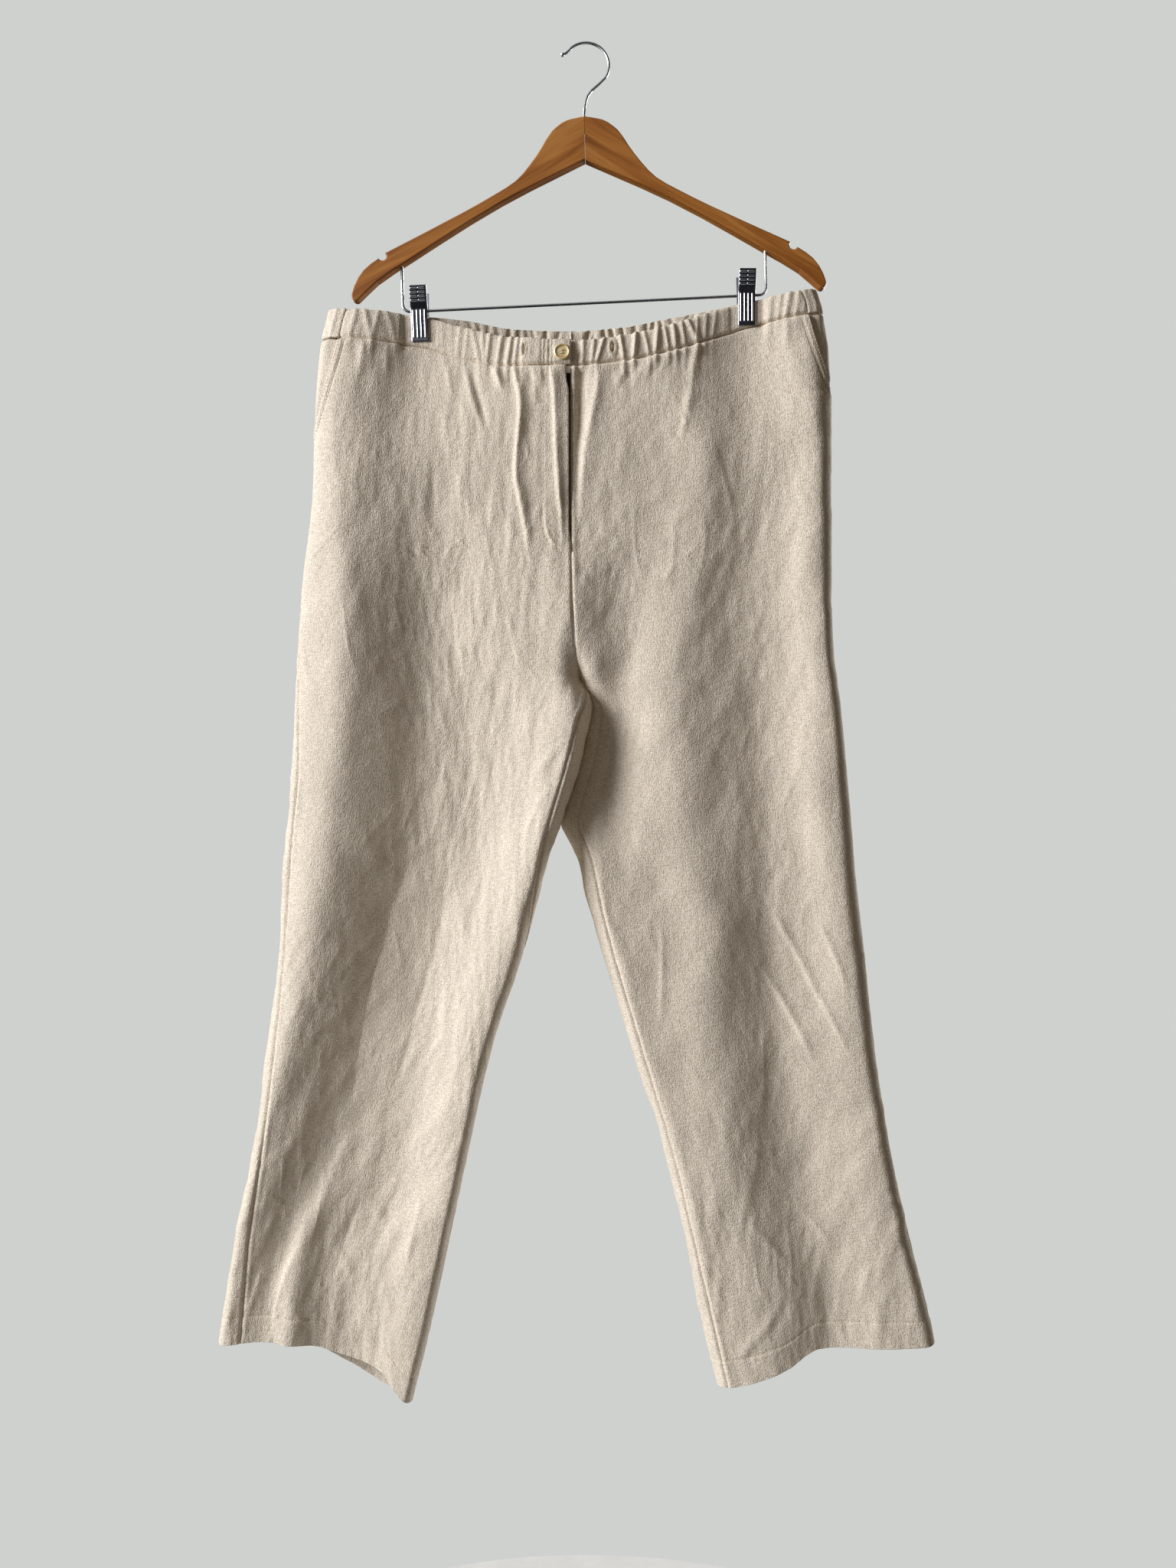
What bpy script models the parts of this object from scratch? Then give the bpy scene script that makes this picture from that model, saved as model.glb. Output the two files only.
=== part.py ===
"""Linen trousers with an elasticated waist, held by two clips on a wooden hanger.

Metres, +Z up, with the front towards -Y. The origin is the inside top of the hook, where a rod or
peg carries everything. Tables are in millimetres, with heights measured from the hook's outer top.
Right and left are the wearer's, so the right leg is at -X.

Every piece of cloth is a wall on one smooth form, which ring() works out from the tables. A place on
it has a level (its height before the waist dips and the hem slants) and an "around" value: 0 is the
outer edge of the outline, 1 the centre line or inner leg, and 2 the outer edge again, round the back.
"""

import math

import bmesh
import bpy
import numpy as np
from mathutils import Matrix, Vector

MM = 0.001
TOUCHING = 1e-6  # metres
SMOOTH_ANGLE = math.radians(40)

LINEN = (0.72, 0.65, 0.54)
TAPE = (0.09, 0.05, 0.03)
HORN = (0.8, 0.74, 0.62)
VARNISHED_WOOD = (0.42, 0.2, 0.075)
NICKEL = (0.62, 0.6, 0.58)
CLIP_PLATE = (0.55, 0.54, 0.52)
CLOTH_ROUGHNESS = 0.9
WOOD_ROUGHNESS = 0.35
WIRE_ROUGHNESS = 0.25

CLOTH = 1.2  # one layer of linen with its seam allowances
HEM_CLOTH = 2.2  # the turned-up hem
BAND_CLOTH = 2.6  # two layers with the elastic between them
SEAM = 0.4  # space between two pieces at a seam
WAIST_SEAM = 0.6  # below the waistband, whose gathers the panels follow only roughly
WIRE = 2.6  # hook and trouser bar
HANGER_TILT = math.radians(1.57)
CROWN = (-1.4, -72.9)  # top of the hanger's wood: x, height
WOOD = 12.0

WAIST_LEVEL = -300.0  # seam between waistband and legs
BAND_TOP_LEVEL = -274.0
HEM_LEVEL = -1240.0
HEM_FOLD = -1215.0  # the stitched edge of the turned-up hem
FLY_END = -476.0
CROTCH = -600.0
RISE_TURN = -520.0  # where the centre seams start to run under, towards the crotch
CENTRE = -13.9  # x of the centre front and centre back
BACK_CORNERS = (0.26, 0.3)  # parts of a leg's width over which the back rounds off: outer edge, inner edge
HEM_SLANT_START = -1000.0  # level from which the rows turn towards the hem's slant
WAIST_DIP_START = -480.0
CLIP_HALF = 2.2  # middle of the cloth from the middle plane, between a clip's jaws
CLIP_REACH = {"clip_right": (34.0, 70.0), "clip_left": (46.0, 34.0)}  # how far the cloth narrows to each side
CLIP_FADE = 120.0
CLIP_FLAT = (30.0, 20.0)  # from a clip's middle: where the cloth starts to flatten, and where it is flat
FOLD_START = (-262.0, -300.0)  # the folds begin at the waistband

# One row a height: the outline seen from the front, how far front and back stand from the middle
# plane, and how far in from the outline the side seam and the inseam show on the front.
SECTION_COLUMNS = ("height", "outer", "inner", "front", "back", "side_seam", "inseam")
SECTIONS = {
    "right": (
        (-230, -234, CENTRE, 10, 10, 0, 0),
        (-300, -250, CENTRE, 15, 14, 0, 0),
        (-345, -253, CENTRE, 19, 17, 0, 0),
        (-420, -255, CENTRE, 23, 19, 0, 0),
        (-520, -266, -12.4, 24, 20, 0, 0),
        (-580, -270, -8.5, 24, 21, 2, 0),
        (-600, -271, -4.0, 24, 21, 3, 0),
        (-624, -272, 7.6, 24, 21, 4, 9),
        (-640, -273, 4.3, 24, 21, 5, 12),
        (-695, -277, -9.5, 23, 21, 9, 12),
        (-755, -282, -31, 22, 20, 8, 8),
        (-855, -287, -59, 21, 19, 6.5, 0),
        (-940, -297, -87, 20, 18, 9, 0),
        (-1040, -310, -110, 19, 17, 10.5, 0),
        (-1130, -329, -129, 18, 16, 16, 0),
        (-1220, -343, -149, 16, 15, 22, 0),
        (-1275, -350, -163, 15, 15, 24, 0),
    ),
    "left": (
        (-215, 208, CENTRE, 10, 10, 0, 0),
        (-255, 221.5, CENTRE, 12, 12, 0, 0),
        (-300, 228, CENTRE, 15, 14, 0, 0),
        (-345, 229.5, CENTRE, 19, 17, 0, 0),
        (-420, 228.5, CENTRE, 23, 19, 0, 0),
        (-520, 228, -12.4, 24, 20, 0, 0),
        (-580, 231, -8.5, 24, 21, 0, 0),
        (-600, 233, -4.0, 24, 21, 0, 0),
        (-624, 235, 9.0, 24, 21, 0, 9),
        (-640, 237, 5.7, 24, 21, 0, 13),
        (-695, 242.5, -8.0, 23, 21, 0, 15),
        (-730, 246, -17.5, 22, 20, 0, 15),
        (-755, 248, -10, 22, 20, 0, 13),
        (-825, 255.5, 6, 21, 19, 0, 12),
        (-940, 268, 42, 20, 18, 0, 9),
        (-1040, 283, 74, 19, 17, 0, 7),
        (-1130, 303.5, 94.5, 18, 16, 0, 8),
        (-1220, 325, 113.5, 16, 15, 0, 10),
        (-1275, 332, 127, 15, 15, 0, 9),
    ),
}

# Parts of a leg's width over which the front rounds off at its outer and inner edges, and how far forward
# front and back curl together there.
EDGE_COLUMNS = ("height", "outer_corner", "inner_corner", "outer_curl", "inner_curl")
EDGES = {
    "right": (
        (-300, 0.24, 0.12, 0, 0),
        (-590, 0.24, 0.1, 0, 0),
        (-650, 0.24, 0.06, 0, 8),
        (-740, 0.24, 0.05, 0, 10),
        (-850, 0.22, 0.04, 0, 10),
        (-980, 0.1, 0.04, 2, 10),
        (-1080, 0.05, 0.04, 4, 9),
        (-1275, 0.05, 0.04, 4, 8),
    ),
    "left": (
        (-300, 0.1, 0.12, 0, 0),
        (-420, 0.06, 0.1, 5, 0),
        (-600, 0.05, 0.1, 8, 0),
        (-660, 0.05, 0.1, 8, -8),
        (-740, 0.05, 0.09, 8, -5),
        (-830, 0.05, 0.08, 8, 0),
        (-1275, 0.05, 0.08, 8, 0),
    ),
}

# Heights of the waistband's edges, which dip between the clips.
WAIST_COLUMNS = ("x", "front_bottom", "front_top", "back_bottom", "back_top")
WAIST = (
    (-240, -281, -253, -281, -253),
    (-157, -287.5, -259, -284, -258),
    (-114, -300, -270.5, -287, -261),
    (-70, -308.5, -281.5, -293.5, -267.5),
    (-14, -308.5, -285.5, -295, -268.8),
    (35, -304.5, -280.5, -291, -265),
    (80, -294.5, -270, -283, -257),
    (134, -276, -250.5, -273, -248.5),
    (151, -270, -246, -268, -245),
    (221, -257, -234, -257, -234),
)

# Heights of the hems. The legs are clipped up, so both slant down towards the inseam.
HEM_COLUMNS = ("x", "front", "back")
HEMS = {
    "right": (
        (-343, -1219, -1219),
        (-301, -1217, -1225),
        (-257, -1221, -1231),
        (-228, -1230, -1244),
        (-190, -1243, -1265),
        (-171, -1265, -1270),
        (-162, -1272, -1272),
    ),
    "left": (
        (124, -1261, -1261),
        (144, -1257, -1257),
        (186, -1242, -1245),
        (217, -1225, -1231),
        (263, -1223, -1227),
        (305, -1220, -1221),
        (325, -1218, -1218),
    ),
}

# Slanted pocket openings, from the waistband down to the side: x and height at both ends.
POCKETS = {"right": ((-230, -281), (-256, -379)), "left": ((207, -257), (229, -336))}
POCKET_OVERLAP = 14.0
POCKET_SINK = 2.4  # how far the hip piece lies behind the front at the opening
POCKET_CLOSES = (55.0, 25.0)  # above the opening's lower end
HIP_START = 0.012  # around value of the hip piece's edge at the side seam
HIP_STEP = 0.01  # its third column lies this much short of the pocket's edge
HIP_BEHIND = (0.0, 0.0, 0.2, 1.0, 1.0, 1.0)  # how far each column lies behind, as a part of the sink
HIP_BELOW = 4.0  # how far it runs below the opening
HIP_DEEPER = 2.2
NEAR_EDGE = 0.1  # around value used to read heights beside the outer edge
# Height and x along the edge of the fly's opening.
FLY_OPENING = ((-286, -13.9), (-312, -18.6), (-322, -18.3), (-336, -15), (-450, -14.8), (-476, -14.05))
FLY_LIFT = 1.4  # how far the fly's two sides stand apart
FLY_REACH = (26.0, 4.0)  # from the centre: where the step between them starts, and where it is full
FLY_FADE = (10.0, 60.0)  # above the fly's end
LEGS_PART = (-760.0, -700.0)  # below here the legs hang apart, above it they touch but for a seam's space
OUTER_CURL_FADE = (0.22, 0.0)  # parts of a leg's width
INNER_CURL_FADE = (0.7, 1.0)

# The largest folds: ridges, with a rise over 0, and troughs. Each runs along a line of places, x and
# height, with the rise there.
FOLD_COLUMNS = ("layer", "half_width", "line of x, height and rise")
FOLDS = (
    # The wearer's right leg, which curls towards the light at its outer edge and again at its inner one.
    ("front", 22, ((-224, -300, 0), (-236, -364, 3), (-237, -422, 3.5), (-224, -491, 4),
        (-223, -560, 4.5), (-227, -629, 4.5), (-236, -698, 4), (-243, -768, 4), (-260, -837, 4),
        (-272, -906, 3), (-283, -975, 2), (-298, -1044, 0))),
    ("front", 40, ((-170, -300, 0), (-174, -364, -9), (-170, -422, -12), (-158, -491, -14),
        (-151, -560, -16), (-150, -629, -17), (-155, -698, -17), (-165, -768, -17),
        (-180, -837, -17), (-197, -906, -16), (-213, -975, -15), (-235, -1044, -13),
        (-262, -1113, -9), (-300, -1180, -4), (-320, -1240, 0))),
    ("front", 40, ((-114, -300, 0), (-114, -360, -4), (-112, -430, -5), (-110, -500, -7),
        (-108, -560, -10), (-97, -629, -13),
        (-100, -698, -14), (-112, -768, -14), (-138, -837, -14), (-157, -906, -13),
        (-167, -975, -11), (-175, -1044, -10), (-184, -1084, -11), (-212, -1130, -9),
        (-228, -1182, -7), (-238, -1300, -6))),
    ("front", 26, ((-22, -540, 0), (-10, -610, 6), (-12, -640, 7), (-22, -698, 7), (-44, -768, 6),
        (-68, -837, 5),
        (-95, -906, 4), (-115, -975, 4), (-130, -1044, 3), (-147, -1113, 3), (-160, -1182, 3),
        (-172, -1300, 3))),
    ("front", 13, ((-214, -1000, 0), (-245, -1080, 3), (-262, -1122, 6), (-272, -1180, 7),
        (-279, -1300, 7))),
    # The wearer's left leg.
    ("front", 29, ((156, -300, 0), (149, -364, -4.5), (154, -491, -5.5), (162, -629, -7),
        (165, -698, -9), (175, -768, -8), (178, -906, -7), (184, -975, -7), (196, -1044, -7),
        (207, -1113, -7), (228, -1182, -7), (240, -1300, -7))),
    ("front", 20, ((205, -290, 0), (210, -364, 4), (206, -491, 4), (214, -629, 5), (212, -698, 5),
        (224, -768, 4), (232, -837, 3), (240, -975, 3), (252, -1044, 4), (266, -1113, 4),
        (276, -1182, 4), (285, -1300, 4))),
    ("front", 30, ((100, -300, 0), (104, -364, 2), (100, -491, 2.5), (88, -560, 4.5), (84, -629, 6),
        (92, -698, 6), (100, -768, 6), (115, -837, 7), (115, -906, 7), (118, -975, 5),
        (128, -1044, 5), (144, -1113, 4), (162, -1182, 4), (170, -1300, 4))),
    ("front", 22, ((36, -440, 0), (40, -491, -2), (38, -560, -5), (30, -629, -7), (28, -698, -8),
        (24, -768, 0))),
    # The backs, which the photo doesn't show.
    ("back", 24, ((-118, -310, 0), (-126, -400, 4), (-138, -540, 4), (-150, -660, 0))),
    ("back", 30, ((96, -310, 0), (104, -420, 4), (118, -540, 4), (130, -640, 0))),
    ("back", 26, ((-214, -600, 0), (-208, -720, -5), (-190, -880, -6), (-190, -1020, -4),
        (-220, -1180, -3), (-240, -1300, -3))),
    ("back", 24, ((-262, -700, 0), (-270, -860, 4), (-262, -1010, 5), (-285, -1180, 4),
        (-300, -1300, 4))),
    ("back", 26, ((104, -660, 0), (124, -800, -5), (150, -950, -6), (178, -1110, -4),
        (190, -1300, -4))),
    ("back", 24, ((196, -560, 0), (190, -740, 4), (196, -920, 5), (232, -1120, 5), (262, -1300, 5))),
)

CLIP_COLUMNS = ("name", "x_top", "top", "x_bottom", "bottom", "bar_height")
CLIPS = (
    ("clip_right", -157.0, -233.4, -154.8, -284.0, -253.7),
    ("clip_left", 151.0, -217.8, 150.9, -269.0, -238.9),
)

GATHER_PITCH = 11.5
GATHER_RISE = 0.7
GATHER_DRIFTS = ((0.5, 29.0, 0.0), (0.3, 13.0, 1.0))  # what makes the pitch uneven: share, length, start

EYELETS = (("right", -57.6, -294.4), ("left", 25.0, -292.4))
EYELET_LENGTH = 10.0
EYELET_WIDTH = 2.0
EYELET_POINTS = 7
EYELET_CUT = (-40.0, -4.0)  # depth from which, and to which, the slot is cut
BUTTON = (-21.9, -298.4, 7.5, 3.0)  # x, height, radius, thickness
# The button's rim: how far in from its radius, and how far up.
BUTTON_RIM = ((0.9, 0.0), (0.2, 0.5), (0.0, 1.3), (0.3, 2.6), (1.0, 3.0), (1.7, 2.7), (2.4, 2.1))
BUTTON_DISH = 2.0  # thickness in the middle
BUTTON_STEPS = 36
BUTTON_HOLE = 0.8  # radius
BUTTON_GAP = 0.35
BUTTON_HOLES = 1.9  # from the button's middle
ZIP_HALF = 15.0
ZIP_SINK = 3.2

HOOK_STEM_X = -1.66
HOOK_DEPTH = 14.0  # how far the stem goes into the wood
HOOK_STEM = ((HOOK_STEM_X, -70.0), (-1.2, -63.0), (-0.4, -58.0), (1.6, -51.6), (5.6, -46.2), (13.0, -39.8))
HOOK_RADIUS = 21.7
HOOK_ARC = (-31.0, 128.0)  # degrees
HOOK_POINTS = 30
HOOK_FLARE = ((-15.9, -8.8), (-18.4, -10.9), (-20.6, -12.1))
BALL = 1.85  # radius of the ball at the hook's tip
BALL_TURNS = (52, 70, 90, 110, 130, 150, 172)  # degrees, from the wire to the ball's far side
BORE = WIRE + 0.6
BORE_SPARE = 0.6  # how much deeper a hole is than what stands in it
BORE_RUN = 14.0  # how far a cutter reaches out of the wood
GLUE_GAP = 0.3
WOOD_ROUND = 2.6
NOTCH = (192.7, -126.0)
NOTCH_RADIUS = 4.0
NOTCH_ARC = (133, 333)  # degrees
NOTCH_POINTS = 9
# The wood's top edge and underside, in the hanger's own frame.
WOOD_TOP = (
    (0, 0),
    (17, -3.6),
    (30.7, -13.2),
    (45.2, -34.9),
    (65.5, -58.5),
    (85, -70.5),
    (116, -87),
    (189, -122.5),
)
WOOD_TOP_PLACES = (6, 12, 17, 22, 27, 31, 36, 41, 46, 52, 59, 66, 75, 85, 100, 116, 152)
WOOD_SHOULDER = ((204, -132.9), (210.7, -138.6), (216, -145.5), (220, -153.5), (222.2, -160.5))
WOOD_TIP = (218.4, -162.8)
WOOD_TIP_RADIUS = 4.0
WOOD_TIP_ARC = (0, -125)  # degrees
WOOD_TIP_POINTS = 6
WOOD_UNDER = ((0, -40.5), (78.5, -78), (167, -130), (198, -149.5), (208, -158.5))
WOOD_UNDER_PLACES = (208, 198, 182, 167, 138, 108, 78.5, 52, 26)
BAR_DROPS = (("right", -175.3, -134.9), ("left", 166.6, -129.8))  # where the bar leaves the wood
BAR_DEPTH = 6.0
BAR_CORNERS = ((-175.3, -177.0), (166.6, -170.0))
BAR_BEND = 7.0

CLIP_WIDTH = 16.4
PLATE_THICKNESS = 1.2
PLATE = ((0, 12), (15, 7.0), (20.6, 4.5), (26, 4.55), (60, 4.55))  # distance down, distance out
PLATE_ROWS = (5.0, 10.0, 15.0, 18.5, 20.6, 26.0)  # distances down at which a plain plate has its rows
RIBS = (-5.4, -1.8, 1.8, 5.4)
RIB_RISE = 0.7
# Where ribs and grips are at full height and where they have ended, from their middles or the clip's.
RIB_SIDE = (0.45, 0.75)
RIB_TOP = (21.0, 22.0)
RIB_END = (49.0, 48.0)
GRIP_SIDE = (0.5, 0.8)
GRIP_INSIDE = (1.2, 1.6)
GRIP_OUTSIDE = (6.9, 6.5)
GRIPS = (3.0, 6.4, 9.8, 13.2)
SPRING_OUTER = 3.3
SPRING_BORE = 1.75
SPRING_LENGTH = 12.0
SPRING_SIDES = 28

CLOSER = 0.35  # how much closer the columns of a wall lie at its two ends
FRONT_COLUMNS = 14
BACK_COLUMNS = 16
FRONT_BAND_COLUMNS = 30
BACK_BAND_COLUMNS = 34
AROUND_STEP = 0.004
LEVEL_STEP = 2.0
BAND_LEVELS = (WAIST_LEVEL, (WAIST_LEVEL + BAND_TOP_LEVEL) / 2, BAND_TOP_LEVEL)
UNDERLAP = 34.0  # how far the left waistband reaches under the right one
LAP_LIFT = 1.9
LAP_RISES = (-66.0, -52.0)  # the x between which the right waistband rises over the left one
UNDERLAP_SINKS = (10.0, -6.0)
UNDERLAP_SHARES = (0.2, 0.5, 1.0)
ZIP_LEVELS = (-307.0, -330.0, -370.0, -420.0, -470.0)
ZIP_SHARES = (0.0, 0.5, 0.95)
LAP_MIDDLE = -33.0  # the flat stretch of waistband under the button
LAP_FLAT = (24.0, 32.0)  # from its middle: where it ends, and where the gathers are full
# Rows of the leg panels, closer together at the pockets' lower ends and the crotch.
HIP_LEVELS = (-300, -322, -344, -356, -366, -377, -388, -430, -476, -520, -552, -580)
LEG_LEVELS = (-600, -616, -640, -684, -732, -786, -842, -900, -960, -1020, -1080, -1130, -1175)
HEM_LEVELS = (-1214, -1216, -1240)


def curve_through(places, values):
    """A smooth curve through the values that never overshoots them, as a function of place."""
    order = np.argsort(places)
    x = np.asarray(places, float)[order]
    y = np.asarray(values, float)[order]
    step = np.diff(x)
    slope = np.diff(y) / step
    tangent = np.concatenate([slope[:1], np.zeros(len(x) - 2), slope[-1:]])
    for i in range(1, len(x) - 1):
        if slope[i - 1] * slope[i] > 0:
            before = 2 * step[i] + step[i - 1]
            after = step[i] + 2 * step[i - 1]
            tangent[i] = (before + after) / (before / slope[i - 1] + after / slope[i])

    def at(place):
        place = np.clip(place, x[0], x[-1])
        i = np.clip(np.searchsorted(x, place, side="right") - 1, 0, len(x) - 2)
        t = (place - x[i]) / step[i]
        start = (1 + 2 * t) * (1 - t) ** 2 * y[i] + t * (1 - t) ** 2 * step[i] * tangent[i]
        return start + t * t * (3 - 2 * t) * y[i + 1] + t * t * (t - 1) * step[i] * tangent[i + 1]

    return at


def columns_of(table, names):
    """The table's other columns as smooth curves over its first one."""
    numbers = list(zip(*table))
    return {name: curve_through(numbers[0], numbers[i]) for i, name in enumerate(names) if i}


SECTION = {side: columns_of(rows, SECTION_COLUMNS) for side, rows in SECTIONS.items()}
EDGE = {side: columns_of(rows, EDGE_COLUMNS) for side, rows in EDGES.items()}
HEM = {side: columns_of(rows, HEM_COLUMNS) for side, rows in HEMS.items()}
WAIST_LINE = columns_of(WAIST, WAIST_COLUMNS)
FLY_EDGE = curve_through(*zip(*FLY_OPENING))


def ease(value, start, end):
    """0 before start, 1 after end, with a soft step between them."""
    t = np.clip((value - start) / (end - start), 0.0, 1.0)
    return t * t * (3 - 2 * t)


def rounded(distance, reach):
    """A quarter of an ellipse: 0 at the edge and 1 from reach on."""
    return np.sqrt(1 - (1 - np.clip(distance / reach, 0.0, 1.0)) ** 2)


def fold_height(layer, x, height):
    """How far out the folds of a layer move the cloth."""
    total = np.zeros(np.broadcast(x, height).shape)
    for where, half_width, line in FOLDS:
        if where != layer:
            continue
        places, heights, rises = zip(*line)
        away = (x - curve_through(heights, places)(height)) / half_width
        total = total + curve_through(heights, rises)(height) * np.exp(-(away**2))
    return total


def clip_pinch(x, height):
    """1 between a clip's jaws and 0 away from it."""
    pinch = np.zeros(np.broadcast(x, height).shape)
    for name, x_top, top, x_bottom, bottom, bar_height in CLIPS:
        reach = np.where(x < x_bottom, *CLIP_REACH[name])
        near = np.exp(-(((x - x_bottom) / reach) ** 2))
        flat = np.maximum(near, ease(np.abs(x - x_bottom), *CLIP_FLAT))
        pinch = np.maximum(pinch, flat * ease(height, bottom - CLIP_FADE, bottom))
    return pinch


def gathers(x):
    """Uneven ripples of the elasticated waist."""
    phase = x / GATHER_PITCH
    for share, length, start in GATHER_DRIFTS:
        phase = phase + share * np.sin(x / length + start)
    return GATHER_RISE * np.sin(2 * math.pi * phase)


def ring(side, around, level, front):
    """The middle of the cloth in millimetres, as an array of x, y and height."""
    section = SECTION[side]
    around, level, front = np.broadcast_arrays(around, level, front)
    across = (1 - np.cos(np.pi * around)) / 2
    hem_share = ease(level, HEM_SLANT_START, HEM_LEVEL)
    waist_share = ease(level, WAIST_DIP_START, WAIST_LEVEL)
    band = np.clip((level - WAIST_LEVEL) / (BAND_TOP_LEVEL - WAIST_LEVEL), 0.0, 1.2)
    height = level.astype(float)
    for _ in range(5):
        inner = section["inner"](height)
        x = section["outer"](height) + across * (inner - section["outer"](height))
        hem = np.where(front, HEM[side]["front"](x), HEM[side]["back"](x))
        bottom = np.where(front, WAIST_LINE["front_bottom"](x), WAIST_LINE["back_bottom"](x))
        top = np.where(front, WAIST_LINE["front_top"](x), WAIST_LINE["back_top"](x))
        leg = level + hem_share * (hem - HEM_LEVEL) + waist_share * (bottom - WAIST_LEVEL)
        height = np.where(band > 0, bottom + band * (top - bottom), leg)
    turn = np.clip((RISE_TURN - height) / (RISE_TURN - CROTCH), 0.0, 1.0)
    gap = np.sqrt(1 - turn**2)
    edge = EDGE[side]
    outer_corner = np.where(front, edge["outer_corner"](height), BACK_CORNERS[0])
    inner_corner = np.where(front, edge["inner_corner"](height), BACK_CORNERS[1])
    form = rounded(across, outer_corner) * (gap + (1 - gap) * rounded(1 - across, inner_corner))
    pinch = clip_pinch(x, height)
    depth = np.where(front, section["front"](height), section["back"](height))
    depth = depth * (1 - pinch) + CLIP_HALF * pinch
    loose = (1 - pinch) * np.sqrt(form) * ease(height, *FOLD_START)
    folds = np.where(front, fold_height("front", x, height), fold_height("back", x, height))
    out = np.maximum(depth * form + loose * folds, CLIP_HALF * form)
    fly = ease(height, FLY_END + FLY_FADE[0], FLY_END + FLY_FADE[1]) * ease(np.abs(x - CENTRE), *FLY_REACH)
    out = out + np.where(front, fly * (FLY_LIFT if side == "right" else -FLY_LIFT), 0.0)
    under = ease(turn, 0.0, 0.2)
    inset = (SEAM / 2 + CLOTH / 2 * under) * ease(across, 0.9, 1.0) * ease(height, *LEGS_PART)
    x = x + (-inset if side == "right" else inset)
    outer_curl = edge["outer_curl"](height) * ease(across, *OUTER_CURL_FADE)
    inner_curl = edge["inner_curl"](height) * ease(across, *INNER_CURL_FADE)
    return np.stack([x, np.where(front, -out, out) - outer_curl - inner_curl, height], axis=-1)


def around_at(side, x, height):
    """The around value, on the front, of a place x at a height."""
    outer = SECTION[side]["outer"](height)
    inner = SECTION[side]["inner"](height)
    across = np.clip((x - outer) / (inner - outer), 0.0, 1.0)
    return np.arccos(1 - 2 * across) / math.pi


def seam_around(side, height):
    """Around values of the side seam and the inseam."""
    section = SECTION[side]
    outer = section["outer"](height)
    inner = section["inner"](height)
    inward = np.sign(inner - outer)
    side_seam = around_at(side, outer + inward * section["side_seam"](height), height)
    inseam = around_at(side, inner - inward * section["inseam"](height), height)
    return side_seam, inseam


def pocket_around(side, height):
    """Around value of the pocket's slanted edge, and of the side seam below it."""
    (x_top, top), (x_end, end) = POCKETS[side]
    x = x_top + (x_end - x_top) * np.clip((height - top) / (end - top), 0.0, 1.0)
    slant = around_at(side, x, height)
    return np.where(height > end, slant, seam_around(side, height)[0])


def metres(points):
    """Millimetres from the hook's outer top to metres from the origin, its inside top."""
    return (np.asarray(points, float) + (0.0, 0.0, WIRE)) * MM


def make_object(name, vertices, faces, colour, roughness, metallic=0.0):
    """One closed mesh object, with a material of its own."""
    mesh = bpy.data.meshes.new(name)
    mesh.from_pydata([tuple(v) for v in vertices], [], faces)
    mesh.validate()
    mesh.shade_smooth()
    mesh.set_sharp_from_angle(angle=SMOOTH_ANGLE)
    made = bpy.data.objects.new(name, mesh)
    bpy.context.scene.collection.objects.link(made)
    finish(made, colour, roughness, metallic)
    return made


def finish(made, colour, roughness, metallic=0.0):
    material = bpy.data.materials.new(made.name)
    material.use_nodes = True
    shader = material.node_tree.nodes["Principled BSDF"]
    shader.inputs["Base Color"].default_value = (*colour, 1.0)
    shader.inputs["Roughness"].default_value = roughness
    shader.inputs["Metallic"].default_value = metallic
    made.data.materials.append(material)


def wall_faces(rows, columns):
    """Faces of a closed wall: a grid outside, the same grid inside, and the four edges.

    Both grids are split along the same diagonals, so that the faces of a thin wall never cross.
    """
    inside = rows * columns
    faces = []
    for i in range(rows - 1):
        for j in range(columns - 1):
            a = i * columns + j
            b = a + columns
            for triangle in ((a, a + 1, b + 1), (a, b + 1, b)):
                faces.append(triangle)
                faces.append(tuple(v + inside for v in reversed(triangle)))
    rim = [j for j in range(columns)]
    rim += [i * columns + columns - 1 for i in range(1, rows)]
    rim += [(rows - 1) * columns + j for j in range(columns - 2, -1, -1)]
    rim += [i * columns for i in range(rows - 2, 0, -1)]
    for here, there in zip(rim, rim[1:] + rim[:1]):
        faces.append((there, here, here + inside, there + inside))
    return faces


def cloth_wall(name, points, normals, thickness, colour):
    """A wall of cloth on a grid of points, with SEAM / 2 taken off along its two long edges."""
    points = points.copy()
    for edge, next_one in ((0, 1), (-1, -2)):
        run = points[:, next_one] - points[:, edge]
        points[:, edge] += run / np.linalg.norm(run, axis=-1, keepdims=True) * SEAM / 2
    rows, columns = points.shape[:2]
    half = np.broadcast_to(np.asarray(thickness, float), (rows,))[:, None, None] / 2
    # The outer face keeps the form's place, so that a thicker hem grows inwards.
    outer = points + normals * CLOTH / 2
    inner = outer - normals * half * 2
    vertices = metres(np.concatenate([outer.reshape(-1, 3), inner.reshape(-1, 3)]))
    faces = wall_faces(rows, columns)
    made = make_object(name, vertices, faces, colour, CLOTH_ROUGHNESS)
    mend_normals(made)
    return made


def mend_normals(made):
    shape = bmesh.new()
    shape.from_mesh(made.data)
    bmesh.ops.recalc_face_normals(shape, faces=shape.faces)
    shape.to_mesh(made.data)
    shape.free()


def on_front(around):
    """Whether an around value is on the front, or past the outer edge again, back on the front."""
    return ((around >= 0) & (around <= 1)) | (around > 2)


def form_grid(side, starts, ends, spacing, levels, layer, ripple=0.0):
    """Points and outward normals on the form, a row a level, between two around values a row."""
    around = starts[:, None] + (ends - starts)[:, None] * spacing[None, :]
    return form_points(side, around, levels, layer, ripple=ripple)


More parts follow.
